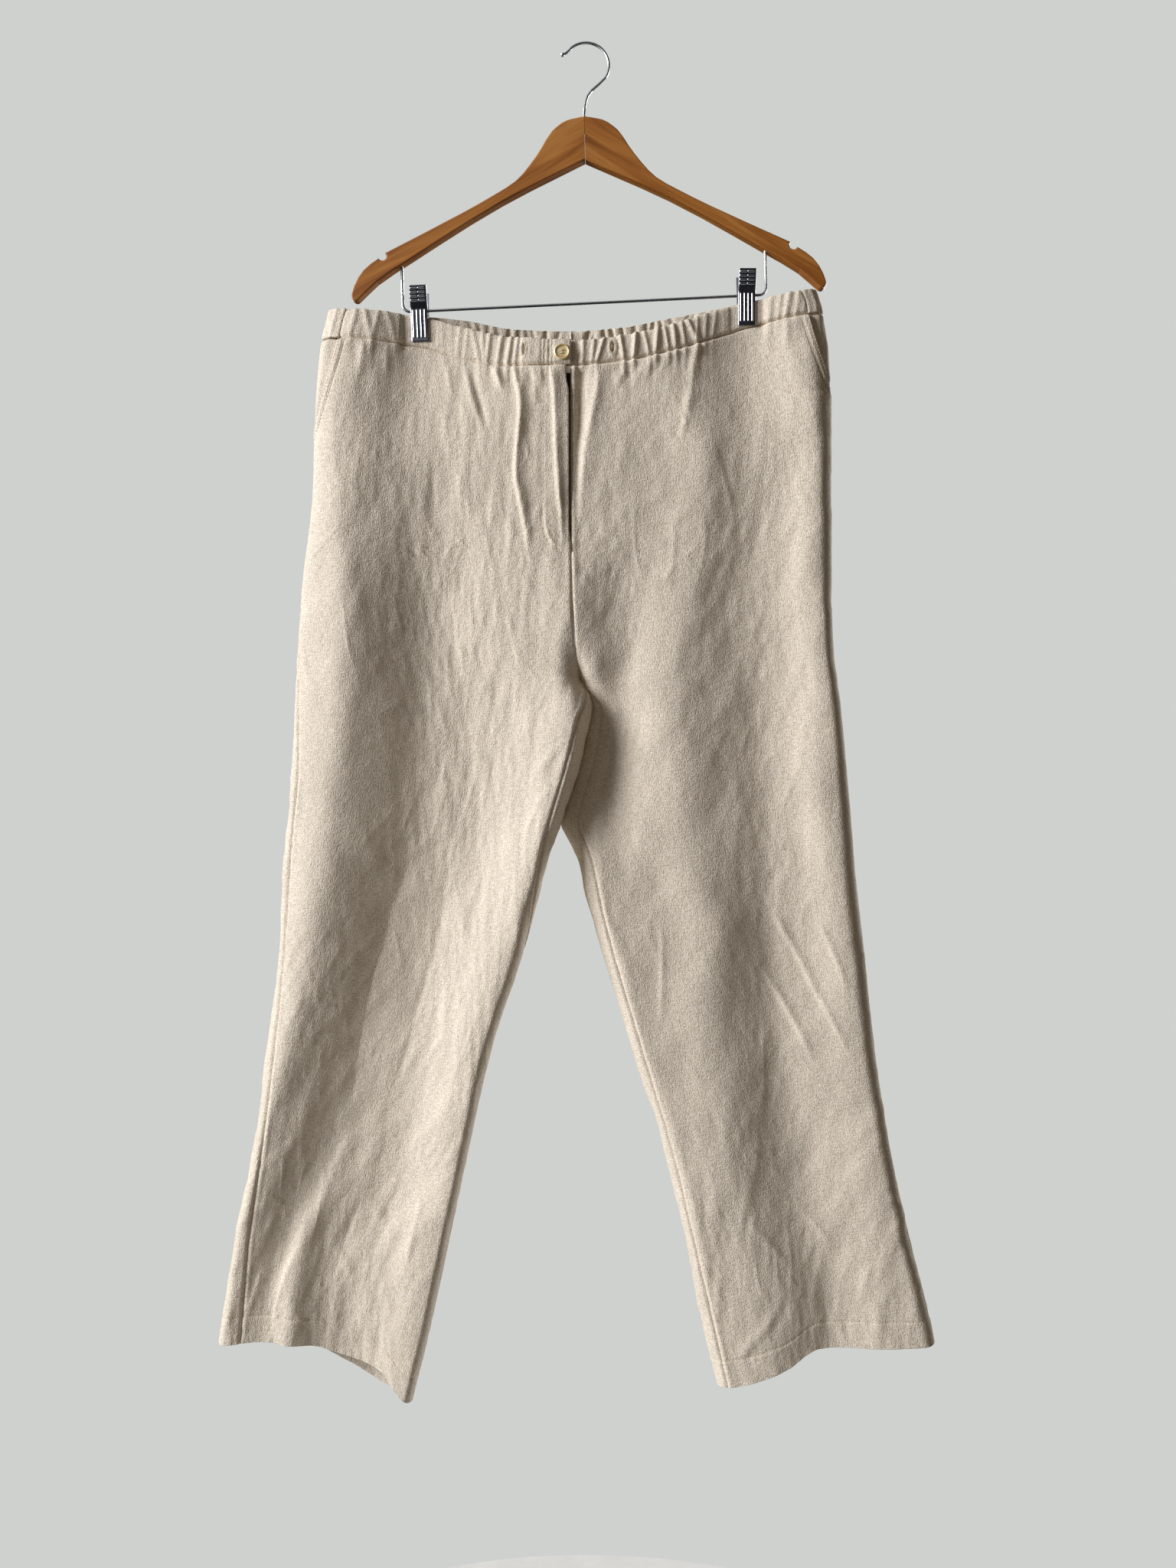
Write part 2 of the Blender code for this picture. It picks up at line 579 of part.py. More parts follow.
def form_points(side, around, levels, layer, sink=0.0, ripple=0.0):
    """Points and outward normals on the form, at a grid of around values with a row a level."""
    level = np.asarray(levels, float)[:, None]
    before = around - AROUND_STEP
    after = around + AROUND_STEP
    # Above the crotch the front and the back end at the centre line, and don't run on.
    if layer == "front":
        here = around >= 0
        after = np.where(level > CROTCH, np.minimum(after, 1.0), after)
    else:
        here = on_front(around) & (around != 1.0)
        before = np.where(level > CROTCH, np.maximum(before, 1.0), before)
    ahead = on_front(after) if layer == "front" else on_front(after) & (after > 0)
    behind = on_front(before) if layer == "front" else on_front(before) & (before != 1.0)
    points = ring(side, around, level, here)
    along = ring(side, after, level, ahead) - ring(side, before, level, behind)
    down = ring(side, around, level - LEVEL_STEP, here) - ring(side, around, level + LEVEL_STEP, here)
    normals = np.cross(along, down)
    normals /= np.maximum(np.linalg.norm(normals, axis=-1, keepdims=True), 1e-9)
    normals *= -1.0 if side == "right" else 1.0
    rise = ripple * gathers(points[..., 0]) * (1 - clip_pinch(points[..., 0], points[..., 2]))
    rise = rise * ease(np.abs(points[..., 0] - LAP_MIDDLE), *LAP_FLAT) - sink
    return points + normals * rise[..., None], normals


def even(count):
    """Places from 0 to 1 along a row, closer together towards both ends."""
    t = np.linspace(0.0, 1.0, count + 1)
    return CLOSER * (1 - np.cos(np.pi * t)) / 2 + (1 - CLOSER) * t


def actual_heights(side, around, levels):
    levels = np.asarray(levels, float)
    return ring(side, np.broadcast_to(around, levels.shape), levels, np.ones(levels.shape, bool))[:, 2]


def leg_levels():
    return np.array(HIP_LEVELS + LEG_LEVELS + HEM_LEVELS, float)


def hem_thickness(levels):
    return np.where(levels < HEM_FOLD, HEM_CLOTH, CLOTH)


def trim_top(points, normals):
    """Leaves a gap between the panels' top edge and the waistband."""
    points[0, :, 2] -= WAIST_SEAM
    normals[0] = flat_normals(normals[0])
    return points


def front_panel(side, colour):
    levels = leg_levels()
    starts = pocket_around(side, actual_heights(side, 0.15, levels))
    heights = actual_heights(side, 0.98, levels)
    inseam = seam_around(side, heights)[1]
    fly = around_at(side, FLY_EDGE(heights), heights) if side == "right" else np.ones(len(levels))
    ends = np.where(heights > FLY_END, fly, np.where(heights > CROTCH - 1, 1.0, inseam))
    points, normals = form_grid(side, starts, ends, even(FRONT_COLUMNS), levels, "front")
    cloth_wall(f"front_{side}", trim_top(points, normals), normals, hem_thickness(levels), colour)


def back_panel(side, colour):
    levels = leg_levels()
    heights = actual_heights(side, 1.0, levels)
    inseam = seam_around(side, heights)[1]
    starts = np.where(heights > CROTCH - 1, 1.0, inseam)
    ends = 2.0 + seam_around(side, actual_heights(side, 0.0, levels))[0]
    points, normals = form_grid(side, starts, ends, even(BACK_COLUMNS), levels, "back")
    cloth_wall(f"back_{side}", trim_top(points, normals), normals, hem_thickness(levels), colour)


def hip_piece(side, colour):
    """The cloth seen behind a pocket's slanted edge, from the side seam to under the front."""
    end = POCKETS[side][1][1]
    levels = np.array(HIP_LEVELS, float)
    levels = levels[actual_heights(side, NEAR_EDGE, levels) > end - HIP_BELOW]
    heights = actual_heights(side, NEAR_EDGE, levels)
    slant = pocket_around(side, heights)[:, None]
    x = ring(side, slant[:, 0], levels, np.ones(len(levels), bool))[:, 0]
    inward = 1.0 if side == "right" else -1.0
    under = around_at(side, x + inward * POCKET_OVERLAP, heights)[:, None]
    shown = np.maximum(slant - HIP_STEP, NEAR_EDGE)
    # The columns: three on the part that shows, and three under the front.
    around = np.hstack([HIP_START + 0 * slant, 0.5 * shown, 0.8 * shown, shown, (shown + under) / 2, under])
    behind = np.array(HIP_BEHIND)[None, :] + 0 * around
    sink = POCKET_SINK * behind
    # Near the opening's lower end the whole piece lies under the front, and a little deeper.
    closed = ease(heights, end + POCKET_CLOSES[0], end + POCKET_CLOSES[1])[:, None]
    sink = sink + (POCKET_SINK + HIP_DEEPER - sink) * closed
    points, normals = form_points(side, around, levels, "front", sink)
    cloth_wall(f"hip_piece_{side}", trim_top(points, normals), normals, CLOTH, colour)


def flat_normals(normals):
    """The same normals turned level, so that a wall's edges stay square to the seam."""
    level = normals * (1.0, 1.0, 0.0)
    return level / np.linalg.norm(level, axis=-1, keepdims=True)


def band_wall(name, points, normals, colour):
    """A length of waistband, centred on the form and thicker than the legs' cloth."""
    level = flat_normals(normals)
    return cloth_wall(name, points + level * (BAND_CLOTH - CLOTH) / 2, level, BAND_CLOTH, colour)


def without_fly(points, side):
    """Takes the fly's step out of the form, and puts the waistband's lap there instead."""
    x = points[..., 0]
    step = ease(np.abs(x - CENTRE), *FLY_REACH) * (1.0 if side == "right" else -1.0)
    points[..., 1] += step * FLY_LIFT
    return points


def front_band(side, colour):
    levels = np.array(BAND_LEVELS)
    top_x, top = POCKETS[side][0]
    starts = np.full(3, around_at(side, top_x, top))
    spacing = even(FRONT_BAND_COLUMNS)
    points, normals = form_grid(side, starts, np.ones(3), spacing, levels, "front", ripple=1.0)
    points = without_fly(points, side)
    if side == "right":
        points[..., 1] -= LAP_LIFT * ease(points[..., 0], *LAP_RISES)
    else:
        points[..., 1] += LAP_LIFT * ease(points[..., 0], *UNDERLAP_SINKS)
        heights = actual_heights("right", 0.99, levels)
        reach = around_at("right", np.full(3, CENTRE - UNDERLAP), heights)
        shares = np.array(UNDERLAP_SHARES)
        under, under_normals = form_grid("right", np.ones(3), reach, shares, levels, "front")
        under = without_fly(under, "right")
        under[..., 1] += LAP_LIFT
        points = np.concatenate([points, under], axis=1)
        normals = np.concatenate([normals, under_normals], axis=1)
    return band_wall(f"waistband_front_{side}", points, normals, colour)


def back_band(side, colour):
    levels = np.array(BAND_LEVELS)
    top_x, top = POCKETS[side][0]
    ends = np.full(3, 2.0 + around_at(side, top_x, top))
    spacing = even(BACK_BAND_COLUMNS)
    points, normals = form_grid(side, np.ones(3), ends, spacing, levels, "back", ripple=1.0)
    band_wall(f"waistband_back_{side}", points, normals, colour)


def fly_zip(colour):
    """The zip's tape behind the fly slot, across the centre line."""
    levels = np.array(ZIP_LEVELS)
    shares = np.array(ZIP_SHARES)
    strips = []
    for side, x in (("right", CENTRE - ZIP_HALF), ("left", CENTRE + ZIP_HALF)):
        heights = actual_heights(side, 0.99, levels)
        edge = around_at(side, np.full(len(levels), x), heights)
        points, normals = form_grid(side, edge, np.ones(len(levels)), shares, levels, "front")
        strips.append(without_fly(points, side))
    points = np.concatenate([strips[0], strips[1][:, ::-1]], axis=1)
    points[..., 1] += ZIP_SINK
    normals = np.zeros(points.shape) + (0.0, -1.0, 0.0)
    cloth_wall("fly_zip", points, normals, CLOTH, colour)


def build_cloth():
    bands = {}
    for side in ("right", "left"):
        front_panel(side, LINEN)
        back_panel(side, LINEN)
        hip_piece(side, LINEN)
        bands[side] = front_band(side, LINEN)
        back_band(side, LINEN)
    fly_zip(TAPE)
    for side, x, height in EYELETS:
        cutter = slot_cutter(f"eyelet_cut_{side}", x, height)
        cut(bands[side], cutter)


def hide_cutter(cutter):
    cutter.hide_render = True
    cutter.display_type = "WIRE"


def cut(made, cutter):
    modifier = made.modifiers.new(cutter.name, "BOOLEAN")
    modifier.operation = "DIFFERENCE"
    modifier.solver = "EXACT"
    modifier.object = cutter


def slot_cutter(name, x, height):
    """An upright slot with round ends, cut through a front waistband from front to back."""
    half = EYELET_WIDTH / 2
    reach = EYELET_LENGTH / 2 - half
    outline = arc((x, height + reach), half, 0.0, 180.0, EYELET_POINTS)
    outline += arc((x, height - reach), half, 180.0, 360.0, EYELET_POINTS)
    made = extruded(name, outline, *EYELET_CUT)
    hide_cutter(made)
    return made


def extruded(name, outline, near, far, colour=(0.5, 0.5, 0.5), roughness=0.5):
    """An outline of x and height, drawn out in depth from near to far."""
    count = len(outline)
    vertices = [(x, depth, z) for depth in (near, far) for x, z in outline]
    faces = [tuple(range(count)), tuple(range(2 * count - 1, count - 1, -1))]
    faces += [(i, i + count, (i + 1) % count + count, (i + 1) % count) for i in range(count)]
    made = make_object(name, metres(vertices), faces, colour, roughness)
    mend_normals(made)
    return made


def round_cutter(name, start, end, radius, parent=None):
    """A cylinder between two places, to bore a hole."""
    start, end = Vector(start) * MM, Vector(end) * MM
    shape = bmesh.new()
    bmesh.ops.create_cone(shape, cap_ends=True, segments=24, radius1=radius * MM, radius2=radius * MM,
                          depth=(end - start).length)
    turn = (end - start).to_track_quat("Z", "Y").to_matrix().to_4x4()
    bmesh.ops.transform(shape, matrix=Matrix.Translation((start + end) / 2) @ turn, verts=shape.verts)
    mesh = bpy.data.meshes.new(name)
    shape.to_mesh(mesh)
    shape.free()
    made = bpy.data.objects.new(name, mesh)
    bpy.context.scene.collection.objects.link(made)
    made.parent = parent
    hide_cutter(made)
    return made


def tube(name, path, radii, colour, roughness, metallic, parent=None, segments=16):
    """A round wire along a path of x and height in the plane y = 0, with flat ends."""
    path = np.asarray(path, float)
    ahead = np.gradient(path, axis=0)
    ahead /= np.linalg.norm(ahead, axis=1, keepdims=True)
    across = np.stack([ahead[:, 1], np.zeros(len(path)), -ahead[:, 0]], axis=1)
    centres = np.stack([path[:, 0], np.zeros(len(path)), path[:, 1]], axis=1)
    angles = 2 * math.pi * np.arange(segments) / segments
    radii = np.broadcast_to(np.asarray(radii, float), (len(path),))[:, None, None]
    around = np.cos(angles)[None, :, None] * across[:, None] + np.sin(angles)[None, :, None] * (0, 1, 0)
    vertices = (centres[:, None] + radii * around).reshape(-1, 3)
    vertices = metres(vertices) if parent is None else vertices * MM
    faces = []
    for i in range(len(path) - 1):
        for j in range(segments):
            a, b = i * segments + j, i * segments + (j + 1) % segments
            faces.append((a, b, b + segments, a + segments))
    faces.append(tuple(range(segments - 1, -1, -1)))
    faces.append(tuple(range((len(path) - 1) * segments, len(path) * segments)))
    made = make_object(name, vertices, faces, colour, roughness, metallic)
    mend_normals(made)
    made.parent = parent
    return made


def arc(centre, radius, start, end, count):
    angles = np.radians(np.linspace(start, end, count))
    return [(centre[0] + radius * math.cos(a), centre[1] + radius * math.sin(a)) for a in angles]


def hook(colour):
    """The hook: a straight stem, a small bend to one side, most of a circle and a ball at its tip."""
    stem = [(HOOK_STEM_X, CROWN[1] - HOOK_DEPTH), *HOOK_STEM]
    round_part = arc((0.0, -WIRE / 2 - HOOK_RADIUS), HOOK_RADIUS, *HOOK_ARC, HOOK_POINTS)
    path = stem + round_part + list(HOOK_FLARE)
    radii = [WIRE / 2] * len(path)
    (x, z), (tip_x, tip_z) = path[-2:]
    length = math.hypot(tip_x - x, tip_z - z)
    start = math.asin(WIRE / 2 / BALL)
    for turn in BALL_TURNS:
        angle = math.radians(turn)
        reach = BALL * (math.cos(start) - math.cos(angle))
        path.append((tip_x + reach * (tip_x - x) / length, tip_z + reach * (tip_z - z) / length))
        radii.append(BALL * math.sin(angle))
    tube("hook", path, radii, colour, WIRE_ROUGHNESS, 1.0)


def wood_outline(sign):
    """Half of the hanger's wood in its own frame: x from the centre, z from the crown."""
    top = curve_through(*zip(*WOOD_TOP))
    under = curve_through(*zip(*WOOD_UNDER))
    outline = [(x, float(top(x))) for x in (GLUE_GAP / 2, *WOOD_TOP_PLACES)]
    outline += arc(NOTCH, NOTCH_RADIUS, *NOTCH_ARC, NOTCH_POINTS)
    outline += list(WOOD_SHOULDER)
    outline += arc(WOOD_TIP, WOOD_TIP_RADIUS, *WOOD_TIP_ARC, WOOD_TIP_POINTS)
    outline += [(x, float(under(x))) for x in (*WOOD_UNDER_PLACES, GLUE_GAP / 2)]
    return [(sign * x, z) for x, z in outline]


def wood_half(side, sign, parent, colour):
    """Half of the wood: its outline drawn out to the wood's thickness, with rounded rims."""
    outline = wood_outline(sign)
    shape = bmesh.new()
    near = [shape.verts.new((x * MM, -WOOD / 2 * MM, z * MM)) for x, z in outline]
    face = shape.faces.new(near)
    drawn = bmesh.ops.extrude_face_region(shape, geom=[face])["geom"]
    moved = [g for g in drawn if isinstance(g, bmesh.types.BMVert)]
    bmesh.ops.translate(shape, vec=(0, WOOD * MM, 0), verts=moved)
    bmesh.ops.recalc_face_normals(shape, faces=shape.faces)
    rims = [e for e in shape.edges if abs(e.verts[0].co.y - e.verts[1].co.y) < TOUCHING]
    middle = [e for e in rims if all(abs(v.co.x) < GLUE_GAP * MM for v in e.verts)]
    rims = [e for e in rims if e not in middle]
    bmesh.ops.bevel(shape, geom=rims, offset=WOOD_ROUND * MM, segments=3, profile=0.5, affect="EDGES",
                    clamp_overlap=True)
    bmesh.ops.recalc_face_normals(shape, faces=shape.faces)
    name = f"hanger_wood_{side}"
    mesh = bpy.data.meshes.new(name)
    shape.to_mesh(mesh)
    shape.free()
    mesh.shade_smooth()
    mesh.set_sharp_from_angle(angle=SMOOTH_ANGLE)
    made = bpy.data.objects.new(name, mesh)
    bpy.context.scene.collection.objects.link(made)
    made.parent = parent
    finish(made, colour, WOOD_ROUGHNESS)
    return made


def corner_path(corners, radius, count=7):
    """Straight runs through the corners, which are rounded to a radius."""
    path = [corners[0]]
    for before, corner, after in zip(corners, corners[1:], corners[2:]):
        corner, before, after = (Vector((*p, 0.0)) for p in (corner, before, after))
        inward, onward = (before - corner).normalized(), (after - corner).normalized()
        half = inward.angle(onward) / 2
        reach = radius / math.tan(half)
        centre = corner + (inward + onward).normalized() * (radius / math.sin(half))
        first, last = corner + inward * reach - centre, corner + onward * reach - centre
        for i in range(count):
            spoke = first.slerp(last, i / (count - 1)).normalized() * radius
            path.append(tuple((centre + spoke)[:2]))
    path.append(corners[-1])
    return path


def build_hanger():
    frame = bpy.data.objects.new("hanger", None)
    bpy.context.scene.collection.objects.link(frame)
    frame.location = metres((CROWN[0], 0.0, CROWN[1]))
    frame.rotation_euler = (0.0, -HANGER_TILT, 0.0)
    hook(NICKEL)
    bores = {}
    for side, x, z in BAR_DROPS:
        start, end = (x, 0, z - BORE_RUN), (x, 0, z + BAR_DEPTH + BORE_SPARE)
        bores[side] = round_cutter(f"bar_bore_{side}", start, end, BORE / 2, frame)
    crown = CROWN[1] + WIRE
    start, end = (HOOK_STEM_X, 0, crown - HOOK_DEPTH - BORE_SPARE), (HOOK_STEM_X, 0, crown + BORE_RUN)
    stem = round_cutter("hook_bore", start, end, BORE / 2)
    for side, sign in (("right", -1.0), ("left", 1.0)):
        half = wood_half(side, sign, frame, VARNISHED_WOOD)
        cut(half, bores[side])
        cut(half, stem)
    ends = {side: (x, z) for side, x, z in BAR_DROPS}
    corners = [(ends["right"][0], ends["right"][1] + BAR_DEPTH), *BAR_CORNERS,
               (ends["left"][0], ends["left"][1] + BAR_DEPTH)]
    tube("trouser_bar", corner_path(corners, BAR_BEND), WIRE / 2, NICKEL, WIRE_ROUGHNESS, 1.0, frame)


def plate_profile():
    """A clip plate's middle line as distance down from its top and distance from the middle plane."""
    return curve_through(*zip(*PLATE))


def rib_height(across, down):
    """Raised ribs on the front plate's lower part, and grip bars on its top part."""
    ribs = [1 - ease(np.abs(across - centre), *RIB_SIDE) for centre in RIBS]
    rib = np.max(ribs, axis=0) * ease(down, *RIB_TOP) * ease(down, *RIB_END)
    bars = [1 - ease(np.abs(down - centre), *GRIP_SIDE) for centre in GRIPS]
    beside = ease(np.abs(across), *GRIP_INSIDE) * ease(np.abs(across), *GRIP_OUTSIDE)
    return np.maximum(rib, np.max(bars, axis=0) * beside) * RIB_RISE


def clip_frame(name, x_top, top, x_bottom, bottom):
    """An empty at the top of a clip, turned so that its -Z runs down the clip."""
    frame = bpy.data.objects.new(name, None)
    bpy.context.scene.collection.objects.link(frame)
    frame.location = metres((x_top, 0.0, top))
    frame.rotation_euler = (0.0, -math.atan2(x_bottom - x_top, top - bottom), 0.0)
    return frame


def clip_plate(name, frame, length, front, colour):
    """One pressed plate of a clip, with its ribs and grips on the front one only."""
    half = CLIP_WIDTH / 2
    columns = [-half, 0.0, half]
    rows = [0.0, *PLATE_ROWS]
    if front:
        columns = sorted([-half, half] + [c + sign * d for c in RIBS for d in RIB_SIDE for sign in (-1, 1)])
        rows = [0.0, *[g + sign * d for g in GRIPS for d in GRIP_SIDE for sign in (-1, 1)]]
        rows = sorted([*rows, *RIB_TOP, *RIB_END, *PLATE_ROWS[-3:]])
    rows.append(length)
    down, across = np.meshgrid(rows, columns, indexing="ij")
    middle = plate_profile()(down)
    rise = rib_height(across, down) if front else 0.0
    side = -1.0 if front else 1.0
    outside = np.stack([across, side * (middle + PLATE_THICKNESS / 2 + rise), -down], axis=-1)
    inside = np.stack([across, side * (middle - PLATE_THICKNESS / 2), -down], axis=-1)
    vertices = np.concatenate([outside.reshape(-1, 3), inside.reshape(-1, 3)]) * MM
    made = make_object(name, vertices, wall_faces(len(rows), len(columns)), colour, WIRE_ROUGHNESS, 1.0)
    mend_normals(made)
    made.parent = frame


def clip_spring(name, frame, down, slope, colour):
    """The spring's barrel, threaded on the trouser bar between the plates."""
    half = SPRING_LENGTH / 2
    section = ((-half, SPRING_BORE), (-half, SPRING_OUTER), (half, SPRING_OUTER), (half, SPRING_BORE))
    vertices = []
    for i in range(SPRING_SIDES):
        angle = 2 * math.pi * i / SPRING_SIDES
        vertices += [(x * MM, r * math.cos(angle) * MM, r * math.sin(angle) * MM) for x, r in section]
    faces = []
    corners = len(section)
    for i in range(SPRING_SIDES):
        there = (i + 1) % SPRING_SIDES
        for j in range(corners):
            k = (j + 1) % corners
            faces.append((i * corners + j, i * corners + k, there * corners + k, there * corners + j))
    made = make_object(name, vertices, faces, colour, WIRE_ROUGHNESS, 1.0)
    mend_normals(made)
    made.parent = frame
    made.location = (0.0, 0.0, -down * MM)
    made.rotation_euler = (0.0, slope, 0.0)


def build_clips():
    (x1, z1), (x2, z2) = BAR_CORNERS
    bar_slope = math.atan2(z2 - z1, x2 - x1) + HANGER_TILT
    for name, x_top, top, x_bottom, bottom, bar_height in CLIPS:
        frame = clip_frame(name, x_top, top, x_bottom, bottom)
        length = math.hypot(x_bottom - x_top, top - bottom)
        clip_plate(f"{name}_front", frame, length, True, CLIP_PLATE)
        clip_plate(f"{name}_back", frame, length, False, CLIP_PLATE)
        turn = -bar_slope - frame.rotation_euler.y
        clip_spring(f"{name}_spring", frame, top - bar_height, turn, CLIP_PLATE)


def build_button(colour):
    """A four-hole button on the right waistband's end."""
    x, height, radius, thickness = BUTTON
    around = np.full(2, around_at("right", x, height))
    band = ring("right", around, np.array((WAIST_LEVEL, BAND_TOP_LEVEL)), np.full(2, True))
    band = without_fly(band, "right")
    (low_y, low), (high_y, high) = band[:, 1:]
    lean = (high_y - low_y) / (high - low)
    y = low_y + (height - low) * lean - LAP_LIFT - BAND_CLOTH / 2 - BUTTON_GAP
    profile = [(0.0, 0.0), *[(radius - inward, rise) for inward, rise in BUTTON_RIM], (0.0, BUTTON_DISH)]
    shape = bmesh.new()
    line = [shape.verts.new((r * MM, 0.0, z * MM)) for r, z in profile]
    for a, b in zip(line, line[1:]):
        shape.edges.new((a, b))
    bmesh.ops.spin(shape, geom=shape.verts[:] + shape.edges[:], axis=(0, 0, 1), cent=(0, 0, 0),
                   angle=2 * math.pi, steps=BUTTON_STEPS)
    bmesh.ops.remove_doubles(shape, verts=shape.verts, dist=TOUCHING)
    bmesh.ops.recalc_face_normals(shape, faces=shape.faces)
    mesh = bpy.data.meshes.new("button")
    shape.to_mesh(mesh)
    shape.free()
    mesh.shade_smooth()
    mesh.set_sharp_from_angle(angle=SMOOTH_ANGLE)
    made = bpy.data.objects.new("button", mesh)
    bpy.context.scene.collection.objects.link(made)
    made.location = metres((x, y, height))
    made.rotation_euler = (math.pi / 2 - math.atan(lean), 0.0, 0.0)
    finish(made, colour, WOOD_ROUGHNESS)
    for i in range(4):
        angle = math.pi / 4 + i * math.pi / 2
        spot = (BUTTON_HOLES * math.cos(angle), BUTTON_HOLES * math.sin(angle))
        start, end = (*spot, -thickness), (*spot, 2 * thickness)
        cut(made, round_cutter(f"button_hole_{i + 1}", start, end, BUTTON_HOLE, made))


def clear_scene():
    for old in list(bpy.data.objects):
        bpy.data.objects.remove(old, do_unlink=True)


def main():
    clear_scene()
    build_cloth()
    build_button(HORN)
    build_hanger()
    build_clips()


main()
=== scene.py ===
"""Linen trousers with a gathered waist, clipped to a wooden hanger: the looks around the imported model.

The tables are in millimetres. Heights are measured down from the outer top of the hook, x from the
hanger's middle, and the front faces -Y. Right and left are the wearer's, so the right leg is at -X.
A place on the cloth has a level, which is its height before the waist dips and the hems slant, and an
"around" value: 0 at the outline's outer edge, 1 at the centre line or inner leg, 2 at the edge again.
"""

import math

import bmesh
import bpy
import numpy as np
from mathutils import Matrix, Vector


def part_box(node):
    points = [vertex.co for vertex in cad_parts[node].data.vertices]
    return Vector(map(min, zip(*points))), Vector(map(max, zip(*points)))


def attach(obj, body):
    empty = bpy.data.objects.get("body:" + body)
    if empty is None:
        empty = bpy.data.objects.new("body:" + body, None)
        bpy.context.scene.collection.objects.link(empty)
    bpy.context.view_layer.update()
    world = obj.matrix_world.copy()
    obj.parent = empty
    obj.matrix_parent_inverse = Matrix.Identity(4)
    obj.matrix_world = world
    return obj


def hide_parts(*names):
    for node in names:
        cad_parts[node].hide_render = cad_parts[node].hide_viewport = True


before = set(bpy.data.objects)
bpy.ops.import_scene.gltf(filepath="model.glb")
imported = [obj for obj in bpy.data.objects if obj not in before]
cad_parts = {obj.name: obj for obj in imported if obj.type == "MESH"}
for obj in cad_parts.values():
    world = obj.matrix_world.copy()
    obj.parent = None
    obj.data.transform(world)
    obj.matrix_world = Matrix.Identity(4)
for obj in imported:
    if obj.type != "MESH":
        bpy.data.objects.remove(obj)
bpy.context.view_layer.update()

bl_info = {
    "name": "Linen trousers on a clip hanger",
    "version": (1, 0, 0),
    "blender": (4, 5, 0),
    "location": "3D View > Sidebar > Trousers",
    "description": "Builds the cloth, stitching and finishes of hung linen trousers around their frame",
    "category": "Object",
}

MM = 0.001
HOOK_WIRE = 2.6
ROOT = "root"
SIDES = ("right", "left")

# ---------------------------------------------------------------- the form, as the frame has it

CLOTH = 1.2  # the frame's wall
BAND_CLOTH = 2.6
WAIST_LEVEL = -300.0  # seam between waistband and legs
BAND_TOP_LEVEL = -274.0
BAND_DEPTH = BAND_TOP_LEVEL - WAIST_LEVEL
HEM_LEVEL = -1240.0
FLY_END = -476.0
CROTCH = -600.0
RISE_TURN = -520.0  # where the centre seams start to run under, towards the crotch
HEM_SLANT_FROM = -1000.0  # where the rows start to slant towards the hem
WAIST_DIP_FROM = -480.0  # and where they start to dip with the waist
FOLDS_BEGIN = (-262.0, -300.0)  # the soft folds grow between these heights
CENTRE = -13.9
# Parts of a leg's width over which the front rounds off at its outer and inner edges, and how far forward
# front and back curl together there.
EDGE_COLUMNS = ("height", "outer_corner", "inner_corner", "outer_curl", "inner_curl")
EDGES = {
    "right": (
        (-300, 0.24, 0.12, 0, 0),
        (-590, 0.24, 0.1, 0, 0),
        (-650, 0.24, 0.06, 0, 8),
        (-740, 0.24, 0.05, 0, 10),
        (-850, 0.22, 0.04, 0, 10),
        (-980, 0.1, 0.04, 2, 10),
        (-1080, 0.05, 0.04, 4, 9),
        (-1275, 0.05, 0.04, 4, 8),
    ),
    "left": (
        (-300, 0.1, 0.12, 0, 0),
        (-420, 0.06, 0.1, 5, 0),
        (-600, 0.05, 0.1, 8, 0),
        (-660, 0.05, 0.1, 8, -8),
        (-740, 0.055, 0.09, 8, -5),
        (-830, 0.065, 0.08, 8, 0),
        (-1275, 0.065, 0.08, 8, 0),
    ),
}
BACK_CORNERS = (0.26, 0.3)
CLIP_HALF = 2.2  # from the middle plane to the cloth between a clip's jaws
CLIP_FADE = 120.0  # how far below a clip the cloth is drawn in
CLIP_FLAT_FADE = 40.0  # and how far it is quite flat
ARM_LEAN = 30.0  # of the hanger's arms, in degrees
FLY_LIFT = 1.4  # of the fly's right side over its left one
LAP_LIFT = 1.9  # of the waistband's right end, where it laps over the left one
UNDERLAP = 34.0
CENTRE_GAP = 0.3  # of each side from the centre line, where the sides just meet
LEFT_BEHIND = 6.0  # how far the left leg runs on behind the right one, below the crotch
WAIST_GROOVE = 2.6  # how deep the legs' cloth turns in at the waistband's seam
# Steps along the form over which its normals are taken.
AROUND_STEP = 0.004
LEVEL_STEP = 2.0
# Around values at which the heights of the pocket's edge and of the centre line are taken.
NEAR_POCKET = 0.15
NEAR_CENTRE = 0.98

